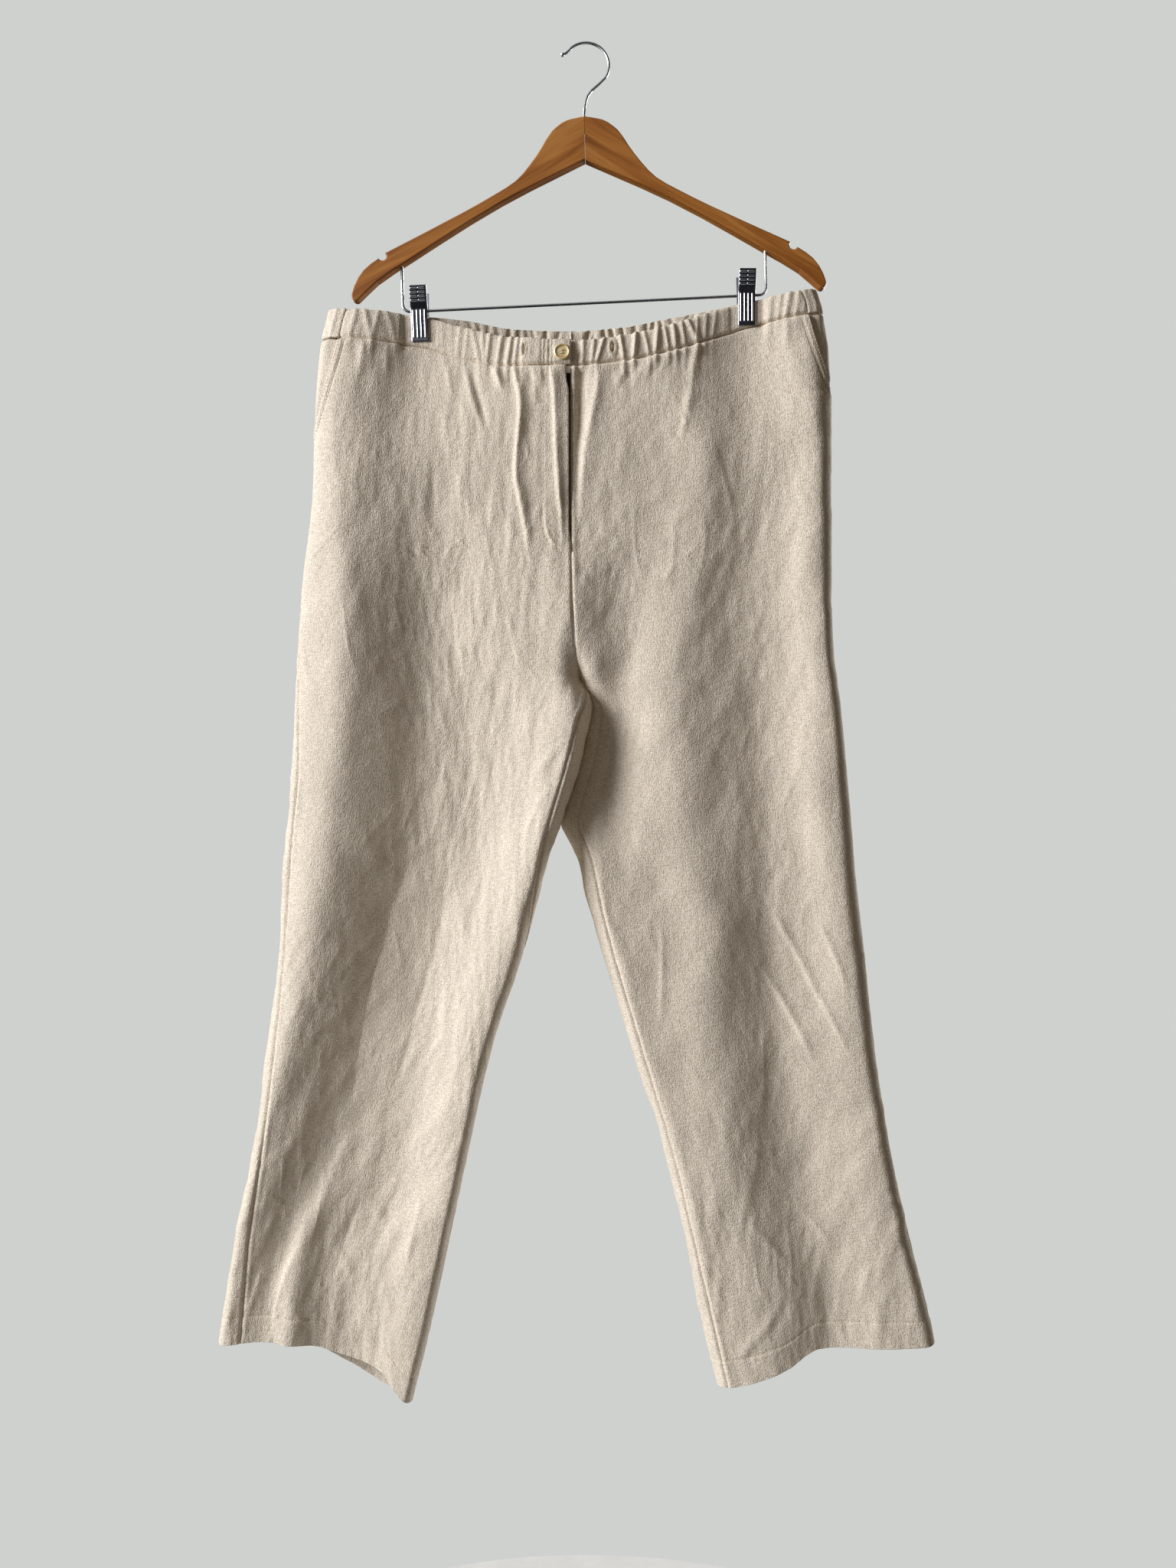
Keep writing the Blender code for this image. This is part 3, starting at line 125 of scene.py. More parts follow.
SECTION_COLUMNS = ("height", "outer", "inner", "front", "back", "side_seam", "inseam")
SECTIONS = {
    "right": (
        (-230, -234, CENTRE, 10, 10, 0, 0),
        (-300, -250, CENTRE, 15, 14, 0, 0),
        (-345, -253, CENTRE, 19, 17, 0, 0),
        (-420, -255, CENTRE, 23, 19, 0, 0),
        (-520, -266, -12.4, 24, 20, 0, 0),
        (-580, -270, -8.5, 24, 21, 2, 0),
        (-600, -271, -4.0, 24, 21, 3, 0),
        (-624, -272, 7.6, 24, 21, 4, 9),
        (-640, -273, 4.3, 24, 21, 5, 12),
        (-695, -277, -9.5, 23, 21, 9, 12),
        (-755, -282, -31, 22, 20, 8, 8),
        (-855, -287, -59, 21, 19, 6.5, 0),
        (-940, -297, -87, 20, 18, 9, 0),
        (-1040, -310, -110, 19, 17, 10.5, 0),
        (-1130, -329, -129, 18, 16, 16, 0),
        (-1220, -343, -149, 16, 15, 22, 0),
        (-1275, -350, -163, 15, 15, 24, 0),
    ),
    "left": (
        (-215, 208, CENTRE, 10, 10, 0, 0),
        (-255, 221.5, CENTRE, 12, 12, 0, 0),
        (-300, 228, CENTRE, 15, 14, 0, 0),
        (-345, 229.5, CENTRE, 19, 17, 0, 0),
        (-420, 228.5, CENTRE, 23, 19, 0, 0),
        (-520, 228, -12.4, 24, 20, 0, 0),
        (-580, 231, -8.5, 24, 21, 0, 0),
        (-600, 233, -4.0, 24, 21, 0, 0),
        (-624, 235, 9.0, 24, 21, 0, 9),
        (-640, 237, 5.7, 24, 21, 0, 13),
        (-695, 242.5, -8.0, 23, 21, 0, 15),
        (-730, 246, -17.5, 22, 20, 0, 15),
        (-755, 248, -10, 22, 20, 0, 13),
        (-825, 255.5, 6, 21, 19, 0, 12),
        (-940, 268, 42, 20, 18, 0, 9),
        (-1040, 283, 74, 19, 17, 0, 7),
        (-1130, 303.5, 94.5, 18, 16, 0, 8),
        (-1220, 325, 113.5, 16, 15, 0, 10),
        (-1275, 332, 127, 15, 15, 0, 9),
    ),
}

WAIST_COLUMNS = ("x", "front_bottom", "front_top", "back_bottom", "back_top")
WAIST = (
    (-240, -281, -253, -281, -253),
    (-157, -287.5, -259, -284, -258),
    (-114, -300, -270.5, -287, -261),
    (-70, -308.5, -281.5, -293.5, -267.5),
    (-14, -308.5, -285.5, -295, -268.8),
    (35, -304.5, -280.5, -291, -265),
    (80, -294.5, -270, -283, -257),
    (134, -276, -250.5, -273, -248.5),
    (151, -270, -246, -268, -245),
    (221, -257, -234, -257, -234),
)

HEM_COLUMNS = ("x", "front", "back")
HEMS = {
    "right": (
        (-343, -1219, -1219),
        (-301, -1217, -1225),
        (-257, -1221, -1231),
        (-228, -1230, -1244),
        (-190, -1243, -1265),
        (-171, -1265, -1270),
        (-162, -1272, -1272),
    ),
    "left": (
        (124, -1261, -1261),
        (144, -1257, -1257),
        (186, -1242, -1245),
        (217, -1225, -1231),
        (263, -1223, -1227),
        (305, -1220, -1221),
        (325, -1218, -1218),
    ),
}

POCKETS = {"right": ((-230, -281), (-256, -379)), "left": ((207, -257), (229, -336))}
POCKET_OVERLAP = 14.0
POCKET_SINK = 2.4
FLY_OPENING = ((-286, -14.5), (-304, -18.4), (-322, -18.2), (-334, -15.9), (-462, -15.4), (-476, -14.05))
# Height and x along the stitching of the fly's placket, which turns in to the centre below the opening.
FLY_STITCHES = ((-300, -39.5), (-440, -39.5), (-452, -39.3), (-462, -38.4), (-470, -36.0), (-476, -32.4),
                (-480, -28.0), (-483, -22.0), (-485, -15.0))

# A clip's front plate, as x and height of its top and its bottom, and how far to its left and right the cloth
# is drawn flat.
CLIPS = {"right": ((-157.0, -233.4, -154.8, -284.0), (34.0, 70.0)),
         "left": ((151.0, -217.8, 150.9, -269.0), (46.0, 34.0))}

# ---------------------------------------------------------------- the cloth's folds and creases

# Soft folds of each layer: ridges, with a rise over 0, and troughs. Each row has its half width, and the line
# it runs along, as places of x and height with the rise there.
FOLDS = {
    "front": (
        # The wearer's right leg, which curls towards the light at its outer edge and again at its inner one.
        (22, ((-226, -300, 2), (-236, -340, 5), (-238, -385, 6), (-237, -430, 5), (-226, -491, 4),
            (-223, -560, 4.5), (-227, -629, 4.5), (-236, -698, 4), (-243, -768, 4), (-260, -837, 4),
            (-272, -906, 3), (-283, -975, 2), (-298, -1044, 0))),
        (38, ((-170, -300, 0), (-158, -364, -6), (-150, -422, -8.5), (-150, -491, -12), (-151, -560, -16),
            (-150, -629, -17), (-155, -698, -17), (-165, -768, -17), (-180, -837, -17), (-197, -906, -16),
            (-213, -975, -15), (-235, -1044, -13), (-262, -1113, -9), (-300, -1180, -4), (-320, -1240, 0))),
        (40, ((-114, -300, 0), (-114, -360, -2), (-112, -430, -3.5), (-110, -500, -7), (-108, -560, -10),
            (-97, -629, -13), (-100, -698, -14), (-112, -768, -14), (-138, -837, -14), (-157, -906, -13),
            (-167, -975, -12), (-173, -1044, -13), (-184, -1084, -13), (-212, -1130, -10),
            (-228, -1182, -7), (-238, -1300, -6))),
        (26, ((-16, -462, 0), (-17, -510, 4.5), (-14, -560, 6), (-10, -610, 6), (-12, -640, 7),
            (-22, -698, 7), (-44, -768, 6), (-68, -837, 5), (-95, -906, 4), (-115, -975, 4),
            (-130, -1044, 3), (-147, -1113, 3), (-160, -1182, 3), (-172, -1300, 3))),
        (13, ((-214, -1000, 0), (-245, -1080, 3), (-262, -1122, 6), (-272, -1180, 7), (-279, -1300, 7))),
        # The wearer's left leg.
        (29, ((156, -300, 0), (149, -364, -3.2), (154, -491, -4.2), (162, -629, -5.2), (165, -698, -6.5),
            (175, -768, -6), (178, -906, -7), (184, -975, -7), (196, -1044, -7), (207, -1113, -7),
            (228, -1182, -7), (240, -1300, -7))),
        (20, ((205, -290, 0), (210, -364, 4), (206, -491, 4), (214, -629, 5), (212, -698, 5),
            (224, -768, 4), (232, -837, 3), (240, -975, 3), (252, -1044, 4), (266, -1113, 4),
            (276, -1182, 4), (285, -1300, 4))),
        (30, ((112, -300, 1), (114, -364, 4), (110, -430, 4.5), (102, -491, 3.5), (88, -560, 4.5),
            (84, -629, 6), (92, -698, 6), (100, -768, 6), (115, -837, 7), (115, -906, 7), (118, -975, 5),
            (128, -1044, 5), (144, -1113, 4), (162, -1182, 4), (170, -1300, 4))),
        (22, ((36, -440, 0), (40, -491, -2), (38, -560, -5), (30, -629, -7), (28, -698, -8),
            (24, -768, 0))),
    ),
    "back": (
        # The backs, which the photo doesn't show.
        (24, ((-118, -310, 0), (-126, -400, 4), (-138, -540, 4), (-150, -660, 0))),
        (30, ((96, -310, 0), (104, -420, 4), (118, -540, 4), (130, -640, 0))),
        (26, ((-214, -600, 0), (-208, -720, -5), (-190, -880, -6), (-190, -1020, -4), (-220, -1180, -3),
            (-240, -1300, -3))),
        (24, ((-262, -700, 0), (-270, -860, 4), (-262, -1010, 5), (-285, -1180, 4), (-300, -1300, 4))),
        (26, ((104, -660, 0), (124, -800, -5), (150, -950, -6), (178, -1110, -4), (190, -1300, -4))),
        (24, ((196, -560, 0), (190, -740, 4), (196, -920, 5), (232, -1120, 5), (262, -1300, 5))),
    ),
}

# Longer creases that wander down the cloth. Each row has how far it reaches on its left and on its right, and
# its line of x, height and rise.
RIDGES = {
    "front": (
        # Beside the fly, where the cloth has kept its folds.
        (1.8, 5.2, ((-69, -302, 1.4), (-66, -314, 2.8), (-60.5, -350, 3.2), (-63.2, -385, 3.4),
            (-64.6, -411, 3.4), (-60, -438, 3.2), (-55, -465, 2.6), (-52.6, -484, 1.0), (-51, -500, 0))),
        (1.8, 4.6, ((-33, -302, 1.2), (-32, -312, 2.2), (-29, -338, 2.6), (-27.2, -386, 2.8),
            (-25.2, -420, 2.8), (-22.6, -448, 2.4), (-21.6, -474, 1.4), (-21.6, -486, 0))),
        (7, 4.5, ((-3, -300, -1.5), (-3, -314, -3.2), (-5, -350, -3.2), (-9, -395, -2.6), (-11, -430, -1),
            (-12, -460, 0))),
        (3.2, 7, ((15, -302, 1.2), (12, -322, 2.4), (5, -360, 2.9), (-1, -396, 2.9), (-4, -430, 1.9),
            (-7, -470, 0))),
    ),
    "back": (),
}

# Narrow creases, each a slightly bowed line between two places. Each row has x and height of its start and
# of its end, its bow, half width, rise and skew. A skew over 0 makes its left side steeper.
CREASES = {
    "front": (
        # From the waistband down the front, right of the wearer's fly.
        (-50, -306, -47, -352, 1, 2.6, 1.3, 0.3), (-108, -304, -86, -380, -2, 3.4, -2.4, 0),
        (-114, -304, -93, -374, -2, 3.0, 2.2, 0.3), (-88, -306, -76, -330, -1, 2.4, 2.0, 0.3),
        (-57.5, -378, -50, -402, -1, 2.2, 1.2, 0.3), (-36, -462, -27, -484, -1, 1.6, 1.1, 0.2),
        (-139, -290, -126, -338, 3, 2.8, 2.6, 0.35), (-92, -303, -76, -338, 2, 2.8, 2.3, 0.3),
        (-57, -304, -40, -334, 2, 3, 1.9, 0.3), (-46, -304, -40, -330, 1, 2.1, 1.4, 0.2),
        (-160, -287, -152, -330, 2, 3.5, 1.4, 0.2), (-186, -285, -186, -318, 0, 3.5, 1.2, 0.2),
        (-206, -283, -212, -325, 0, 4, 1.5, 0.2),
        # The wearer's left of the fly, where the folds lean towards it.
        (39, -312, 27, -331, -1, 2.4, 2, 0), (57, -306, 45, -330, -1, 2.4, 1.6, 0),
        (70, -292, 52, -330, -2, 3.2, 2, 0), (84, -288, 66, -330, -2, 3.2, 1.6, 0),
        (104, -282, 97, -335, -1, 3, 2.8, 0.3), (98, -330, 88, -380, 0, 4, 2.3, 0.3),
        (122, -276, 104, -292, -1, 2.1, 1.5, 0), (135, -272, 122, -286, -1, 2.1, 1.4, 0),
        (168, -265, 169, -300, 0, 3.5, 1.8, 0.2), (190, -262, 186, -292, 0, 3.2, 1.4, 0.2),
        # Leg creases.
        (-150, -590, -144, -640, 1, 2.4, 0.9, 0.2), (-141, -612, -128, -655, -1, 2.4, 0.9, 0.2),
        (-72, -540, -62, -600, 2, 3.1, 1, 0.2), (171, -816, 215, -896, 3, 3.1, 1.7, 0.3),
        (165, -872, 214, -962, 3, 3.3, 1.8, 0.3), (214, -824, 241, -892, 2, 2.9, 1.5, 0.3),
        (204, -875, 243, -950, 2, 2.9, 1.5, 0.3), (70, -826, 69, -925, 1, 3.1, 1.3, 0.3),
        (140, -1232, 186, -1170, -3, 3.7, 1.8, -0.2), (116, -1176, 148, -1177, 1, 2, 1, 0),
        (112, -1090, 128, -1096, 1, 2, 0.9, 0), (104, -1050, 118, -1062, 1, 2, 0.8, 0),
        (92, -960, 108, -975, 1, 2, 0.8, 0), (152, -1108, 190, -1150, 2, 2.9, 1, 0.2),
        (196, -1090, 232, -1132, 2, 3.1, 1, 0.2), (-268, -1130, -290, -1196, -2, 3.1, 1.4, 0.2),
        (-300, -1150, -318, -1204, -1, 2.8, 1.1, 0.2), (-236, -1130, -214, -1170, 2, 2.8, 0.9, 0.2),
        (-210, -1080, -176, -1128, 2, 3.1, 1, 0.2), (-150, -1080, -166, -1150, -1, 2.8, 1, 0.2),
        (-128, -930, -150, -958, -1, 2.2, 0.9, 0), (-20, -660, -52, -700, -2, 2.8, 1, 0.2),
        (-34, -700, -60, -762, -2, 2.8, 0.9, 0.2), (26, -640, 10, -700, -2, 3.1, 1, 0.2),
    ),
    "back": (
        # Like ones on the back, which the photograph does not show.
        (-150, -300, -140, -372, 2, 4.2, 1.8, 0.2), (-92, -300, -84, -356, 2, 3.6, 1.5, 0.2),
        (-40, -300, -46, -346, -2, 3.4, 1.5, 0.2), (18, -298, 26, -352, 2, 3.6, 1.6, 0.2),
        (74, -290, 64, -348, -2, 3.8, 1.6, 0.2), (120, -282, 128, -330, 2, 3.6, 1.5, 0.2),
        (182, -268, 176, -322, -2, 4.0, 1.4, 0.2), (-120, -610, -60, -640, 3, 4.0, 1.5, 0.1),
        (-130, -650, -70, -690, 3, 4.0, 1.3, 0.1), (100, -620, 46, -648, -3, 4.0, 1.5, 0.1),
        (110, -668, 60, -706, -3, 4.0, 1.3, 0.1), (-250, -860, -190, -900, 2, 3.6, 1.2, 0.1),
        (-240, -920, -180, -950, 2, 3.6, 1.1, 0.1), (120, -880, 190, -930, 2, 3.6, 1.2, 0.1),
        (140, -950, 210, -990, 2, 3.6, 1.1, 0.1), (170, -1120, 220, -1180, 2, 3.6, 1.0, 0.1),
        (-300, -1120, -260, -1190, 2, 3.6, 1.0, 0.1),
    ),
}

# Gathers of the front waistband: ridges, each with its x at the top edge and at the lower one, its half width
# and its rise.
FRONT_GATHERS = (
    (-214, -219, 3.0, 1.0), (-206, -200, 2.6, 1.0), (-193, -199, 2.8, 0.9), (-186, -178, 2.4, 1.3),
    (-175, -176, 2.6, 0.8), (-143, -141, 2.4, 1.9), (-134, -135, 2.2, 2.2), (-127, -125, 2.2, 1.6),
    (-117, -120, 2.4, 2.1), (-110, -113, 1.9, 1.7), (-106, -99, 2.3, 2.2), (-96, -95, 2.0, 1.7),
    (-89, -92, 2.2, 2.2), (-78, -82, 2.4, 2.0), (-69, -73, 2.2, 2.0), (-63, -66, 1.8, 1.4),
    (-39, -40, 1.5, 1.1), (-35.5, -36, 1.4, 1.0), (-31.5, -32, 1.4, 0.8),
    (-2, -3, 2.0, 1.3), (8, 6, 1.6, 1.1), (17, 10, 2.0, 1.6), (32, 35.5, 2.0, 1.7), (46.5, 44.5, 2.3, 2.2),
    (54, 59, 1.9, 1.4), (67, 65, 2.2, 2.1), (73, 77, 1.8, 1.4), (81, 84, 2.2, 2.0), (89, 92.5, 2.0, 1.6),
    (94.5, 104, 2.2, 2.1), (104, 103.5, 1.8, 1.5), (112.5, 111, 2.2, 1.8), (122, 118, 2.1, 1.9),
    (128.5, 129.5, 1.9, 1.2), (135, 135.5, 2.0, 1.0), (173.5, 172, 2.4, 1.7), (182.5, 180, 2.2, 1.2),
    (190.5, 186.5, 2.6, 1.8), (199, 196, 2.0, 0.8),
)
# Where the front waistband lies flat, from x to x.
FLAT_BAND = ((-59.5, -41.5), (-29.5, -9.0))
GATHER_SPACING = 9.0  # between the back waistband's gathers
BAND_SPACING = 1.1  # of the waistbands' grid
EYELETS = {"right": (-57.6, -294.4, 2.6), "left": (25.0, -292.4, 4.0)}  # x, height, width of the slit
EYELET_LENGTH = 10.5
EYELET_DEPTH = 2.1

POCKET_STITCHES = (6.5, 1.4)  # two rows, by their distance from the pocket's edge
POCKET_STRIP = 6.6  # width of the thick strip that they hold down
EYELET_STITCHES = 34
STITCH_LENGTH = 2.3
STITCH_GAP = 0.8
THREAD = 0.42

# ---------------------------------------------------------------- curves and bumps


def curve_through(places, values):
    """A smooth curve through the values that never overshoots them, as a function of place."""
    order = np.argsort(places)
    x = np.asarray(places, float)[order]
    y = np.asarray(values, float)[order]
    step = np.diff(x)
    slope = np.diff(y) / step
    tangent = np.concatenate([slope[:1], np.zeros(len(x) - 2), slope[-1:]])
    for i in range(1, len(x) - 1):
        if slope[i - 1] * slope[i] > 0:
            before = 2 * step[i] + step[i - 1]
            after = step[i] + 2 * step[i - 1]
            tangent[i] = (before + after) / (before / slope[i - 1] + after / slope[i])

    def at(place):
        place = np.clip(place, x[0], x[-1])
        i = np.clip(np.searchsorted(x, place, side="right") - 1, 0, len(x) - 2)
        t = (place - x[i]) / step[i]
        start = (1 + 2 * t) * (1 - t) ** 2 * y[i] + t * (1 - t) ** 2 * step[i] * tangent[i]
        return start + t * t * (3 - 2 * t) * y[i + 1] + t * t * (t - 1) * step[i] * tangent[i + 1]

    return at


def columns_of(table, names):
    """The table's other columns as smooth curves over its first one."""
    numbers = list(zip(*table))
    return {name: curve_through(numbers[0], numbers[i]) for i, name in enumerate(names) if i}


SECTION = {side: columns_of(rows, SECTION_COLUMNS) for side, rows in SECTIONS.items()}
EDGE = {side: columns_of(rows, EDGE_COLUMNS) for side, rows in EDGES.items()}
HEM = {side: columns_of(rows, HEM_COLUMNS) for side, rows in HEMS.items()}
WAIST_LINE = columns_of(WAIST, WAIST_COLUMNS)
FLY_EDGE = curve_through(*zip(*FLY_OPENING))
FLY_STITCH_LINE = curve_through(*zip(*FLY_STITCHES))


def ease(value, start, end):
    """0 before start, 1 after end, with a soft step between them."""
    t = np.clip((value - start) / (end - start), 0.0, 1.0)
    return t * t * (3 - 2 * t)


def bell(distance, reach):
    """A bell shape: 1 at no distance, and dying away past reach."""
    return np.exp(-((distance / reach) ** 2))


def rounded(distance, reach):
    """A quarter of an ellipse: 0 at the edge and 1 from reach on."""
    return np.sqrt(1 - (1 - np.clip(distance / reach, 0.0, 1.0)) ** 2)


def rumple(x, z, width, height, seed):
    """Smooth random heights from -1 to 1, with bumps about width by height across."""
    count = 64
    lattice = np.random.default_rng(seed).uniform(-1.0, 1.0, (count, count))
    u, v = x / width, z / height
    i, j = np.floor(u).astype(int), np.floor(v).astype(int)
    s, t = u - i, v - j
    s, t = s * s * (3 - 2 * s), t * t * (3 - 2 * t)
    corner = [lattice[(i + a) % count, (j + b) % count] for a in (0, 1) for b in (0, 1)]
    low = corner[0] * (1 - t) + corner[1] * t
    high = corner[2] * (1 - t) + corner[3] * t
    return low * (1 - s) + high * s


def fold_height(layer, x, height):
    """How far out the soft folds of a layer move the cloth."""
    total = np.zeros(np.broadcast(x, height).shape)
    for half_width, line in FOLDS[layer]:
        places, heights, rises = zip(*line)
        away = (x - curve_through(heights, places)(height)) / half_width
        total = total + curve_through(heights, rises)(height) * bell(away, 1.0)
    return total


def crease_height(layer, x, z):
    """How far out the narrow creases of a layer move the cloth."""
    total = np.zeros(x.shape)
    for x1, z1, x2, z2, bow, half_width, rise, skew in CREASES[layer]:
        length = math.hypot(x2 - x1, z2 - z1)
        along_x, along_z = (x2 - x1) / length, (z2 - z1) / length
        t = ((x - x1) * along_x + (z - z1) * along_z) / length
        near = (t > -0.1) & (t < 1.1)
        aside = (z - z1) * along_x - (x - x1) * along_z
        aside = aside - bow * 4 * t * (1 - t)
        right = np.sign(along_z) * aside < 0
        reach = half_width * np.where(right, 1 + skew, 1 - skew)
        profile = np.exp(-np.abs(aside / reach) ** 1.6)
        fade = ease(t, -0.05, 0.22) * ease(t, 1.05, 0.6)
        total += np.where(near, rise * profile * fade, 0.0)
    for left_width, right_width, line in RIDGES[layer]:
        places, heights, rises = zip(*line)
        aside = x - curve_through(heights, places)(z)
        reach = np.where(aside < 0, left_width, right_width)
        total += curve_through(heights, rises)(z) * np.exp(-np.abs(aside / reach) ** 1.6)
    return total


def clip_pinch(x, height):
    """1 between a clip's jaws and 0 away from it."""
    pinch = np.zeros(np.broadcast(x, height).shape)
    for (_, _, x_bottom, bottom), reaches in CLIPS.values():
        reach = np.where(x < x_bottom, *reaches)
        near = bell(x - x_bottom, reach) * ease(height, bottom - CLIP_FADE, bottom)
        flat = ease(np.abs(x - x_bottom), 30.0, 14.0) * ease(height, bottom - CLIP_FLAT_FADE, bottom)
        pinch = np.maximum(pinch, np.maximum(near, flat))
    return pinch


def back_gathers(side):
    """Gathers like the front's for the back waistband, unevenly spaced."""
    draw = np.random.default_rng(21 if side == "right" else 22)
    outer = -250.0 if side == "right" else 228.0
    count = int(abs(outer - CENTRE) / GATHER_SPACING)
    rows = []
    for i in range(count):
        x = CENTRE + (outer - CENTRE) * (i + 0.5 + draw.uniform(-0.25, 0.25)) / count
        lean = draw.uniform(-4.0, 4.0)
        rows.append((x + lean, x - lean, draw.uniform(1.9, 2.7), draw.uniform(1.3, 2.3)))
    return rows


GATHERS = {("front", side): FRONT_GATHERS for side in SIDES}
GATHERS.update({("back", side): back_gathers(side) for side in SIDES})


def gather_height(layer, side, x, share):
    """Ridges of the elasticated waist; share runs from 0 at the band's seam to 1 at its top."""
    total = np.zeros(np.broadcast(x, share).shape)
    for x_top, x_bottom, half_width, rise in GATHERS[layer, side]:
        line = x_bottom + np.clip(share, 0.0, 1.0) * (x_top - x_bottom)
        total = total + rise * bell(x - line, half_width)
    if layer == "front":
        for start, end in FLAT_BAND:
            inside = ease(x, start - 1.0, start + 0.6) * ease(x, end + 1.0, end - 0.6)
            total = total * (1 - inside) + 1.15 * inside
    return total


# ---------------------------------------------------------------- the cloth's middle surface


def beside_fly(x):
    """1 at the centre line, where the fly's right side lies over its left one, and 0 away from it."""
    return ease(np.abs(x - CENTRE), 26.0, 4.0)


def ring(side, around, level, front):
    """The middle of the cloth in millimetres, as an array of x, y and height."""
    section = SECTION[side]
    around, level, front = np.broadcast_arrays(around, level, front)
    across = (1 - np.cos(np.pi * around)) / 2
    hem_share = ease(level, HEM_SLANT_FROM, HEM_LEVEL)
    waist_share = ease(level, WAIST_DIP_FROM, WAIST_LEVEL)
    band = np.clip((level - WAIST_LEVEL) / BAND_DEPTH, 0.0, 1.2)
    height = level.astype(float)
    for _ in range(5):
        inner = section["inner"](height)
        x = section["outer"](height) + across * (inner - section["outer"](height))
        hem = np.where(front, HEM[side]["front"](x), HEM[side]["back"](x))
        bottom = np.where(front, WAIST_LINE["front_bottom"](x), WAIST_LINE["back_bottom"](x))
        top = np.where(front, WAIST_LINE["front_top"](x), WAIST_LINE["back_top"](x))
        leg = level + hem_share * (hem - HEM_LEVEL) + waist_share * (bottom - WAIST_LEVEL)
        height = np.where(band > 0, bottom + band * (top - bottom), leg)
    turn = np.clip((RISE_TURN - height) / (RISE_TURN - CROTCH), 0.0, 1.0)
    gap = np.sqrt(1 - turn**2)
    edge = EDGE[side]
    outer_corner = np.where(front, edge["outer_corner"](height), BACK_CORNERS[0])
    inner_corner = np.where(front, edge["inner_corner"](height), BACK_CORNERS[1])
    form = rounded(across, outer_corner) * (gap + (1 - gap) * rounded(1 - across, inner_corner))
    pinch = clip_pinch(x, height)
    depth = np.where(front, section["front"](height), section["back"](height))
    depth = depth * (1 - pinch) + CLIP_HALF * pinch
    loose = (1 - pinch) * np.sqrt(form) * ease(height, *FOLDS_BEGIN)
    folds = np.where(front, fold_height("front", x, height), fold_height("back", x, height))
    out = np.maximum(depth * form + loose * folds, CLIP_HALF * form)
    fly = ease(height, FLY_END + 10, FLY_END + 60) * beside_fly(x)
    out = out + np.where(front, fly * (FLY_LIFT if side == "right" else -FLY_LIFT), 0.0)
    # At the centre seam the cloth of both sides just meets. Below it the left leg runs on behind the right.
    meet = CENTRE_GAP * ease(across, 0.9, 1.0) * ease(height, -660.0, -600.0)
    below_crotch = ease(height, -585.0, -625.0) * ease(height, -775.0, -735.0)
    behind = LEFT_BEHIND * ease(across, 0.85, 1.0) * below_crotch
    x = x + (meet if side == "right" else -meet - behind)
    curl = edge["outer_curl"](height) * ease(across, 0.22, 0.0)
    curl = curl + edge["inner_curl"](height) * ease(across, 0.7, 1.0)
    return np.stack([x, np.where(front, -out, out) - curl, height], axis=-1)


def around_at(side, x, height):
    """The around value, on the front, of a place x at a height."""
    outer = SECTION[side]["outer"](height)
    inner = SECTION[side]["inner"](height)
    across = np.clip((x - outer) / (inner - outer), 0.0, 1.0)
    return np.arccos(1 - 2 * across) / math.pi


def seam_around(side, height):
    """Around values of the side seam and the inseam."""
    section = SECTION[side]
    outer = section["outer"](height)
    inner = section["inner"](height)
    inward = np.sign(inner - outer)
    side_seam = around_at(side, outer + inward * section["side_seam"](height), height)
    inseam = around_at(side, inner - inward * section["inseam"](height), height)
    return side_seam, inseam


def pocket_around(side, height):
    """Around value of the pocket's slanted edge, and of the side seam below it."""
    (x_top, top), (x_end, end) = POCKETS[side]
    x = x_top + (x_end - x_top) * np.clip((height - top) / (end - top), 0.0, 1.0)
    slant = around_at(side, x, height)
    return np.where(height > end, slant, seam_around(side, height)[0])


def on_front(around):
    """Whether an around value is on the front, or past the outer edge again, back on the front."""
    return ((around >= 0) & (around <= 1)) | (around > 2)


def form_points(side, around, levels, layer):
    """Points and outward normals on the form, at a grid of around values with a row a level."""
    level = np.asarray(levels, float)[:, None]
    before = around - AROUND_STEP
    after = around + AROUND_STEP
    # Above the crotch the front and the back end at the centre line, and don't run on.
    if layer == "front":
        here = around >= 0
        after = np.where(level > CROTCH, np.minimum(after, 1.0), after)
        ahead, behind = on_front(after), on_front(before)
    else:
        here = on_front(around) & (around != 1.0)
        before = np.where(level > CROTCH, np.maximum(before, 1.0), before)
        ahead, behind = on_front(after) & (after > 0), on_front(before) & (before != 1.0)
    points = ring(side, around, level, here)
    along = ring(side, after, level, ahead) - ring(side, before, level, behind)
    down = ring(side, around, level - LEVEL_STEP, here) - ring(side, around, level + LEVEL_STEP, here)
    normals = np.cross(along, down)
    normals /= np.maximum(np.linalg.norm(normals, axis=-1, keepdims=True), 1e-9)
    normals *= -1.0 if side == "right" else 1.0
    return points, normals


def actual_heights(side, around, levels):
    levels = np.asarray(levels, float)
    return ring(side, np.broadcast_to(around, levels.shape), levels, np.ones(levels.shape, bool))[:, 2]


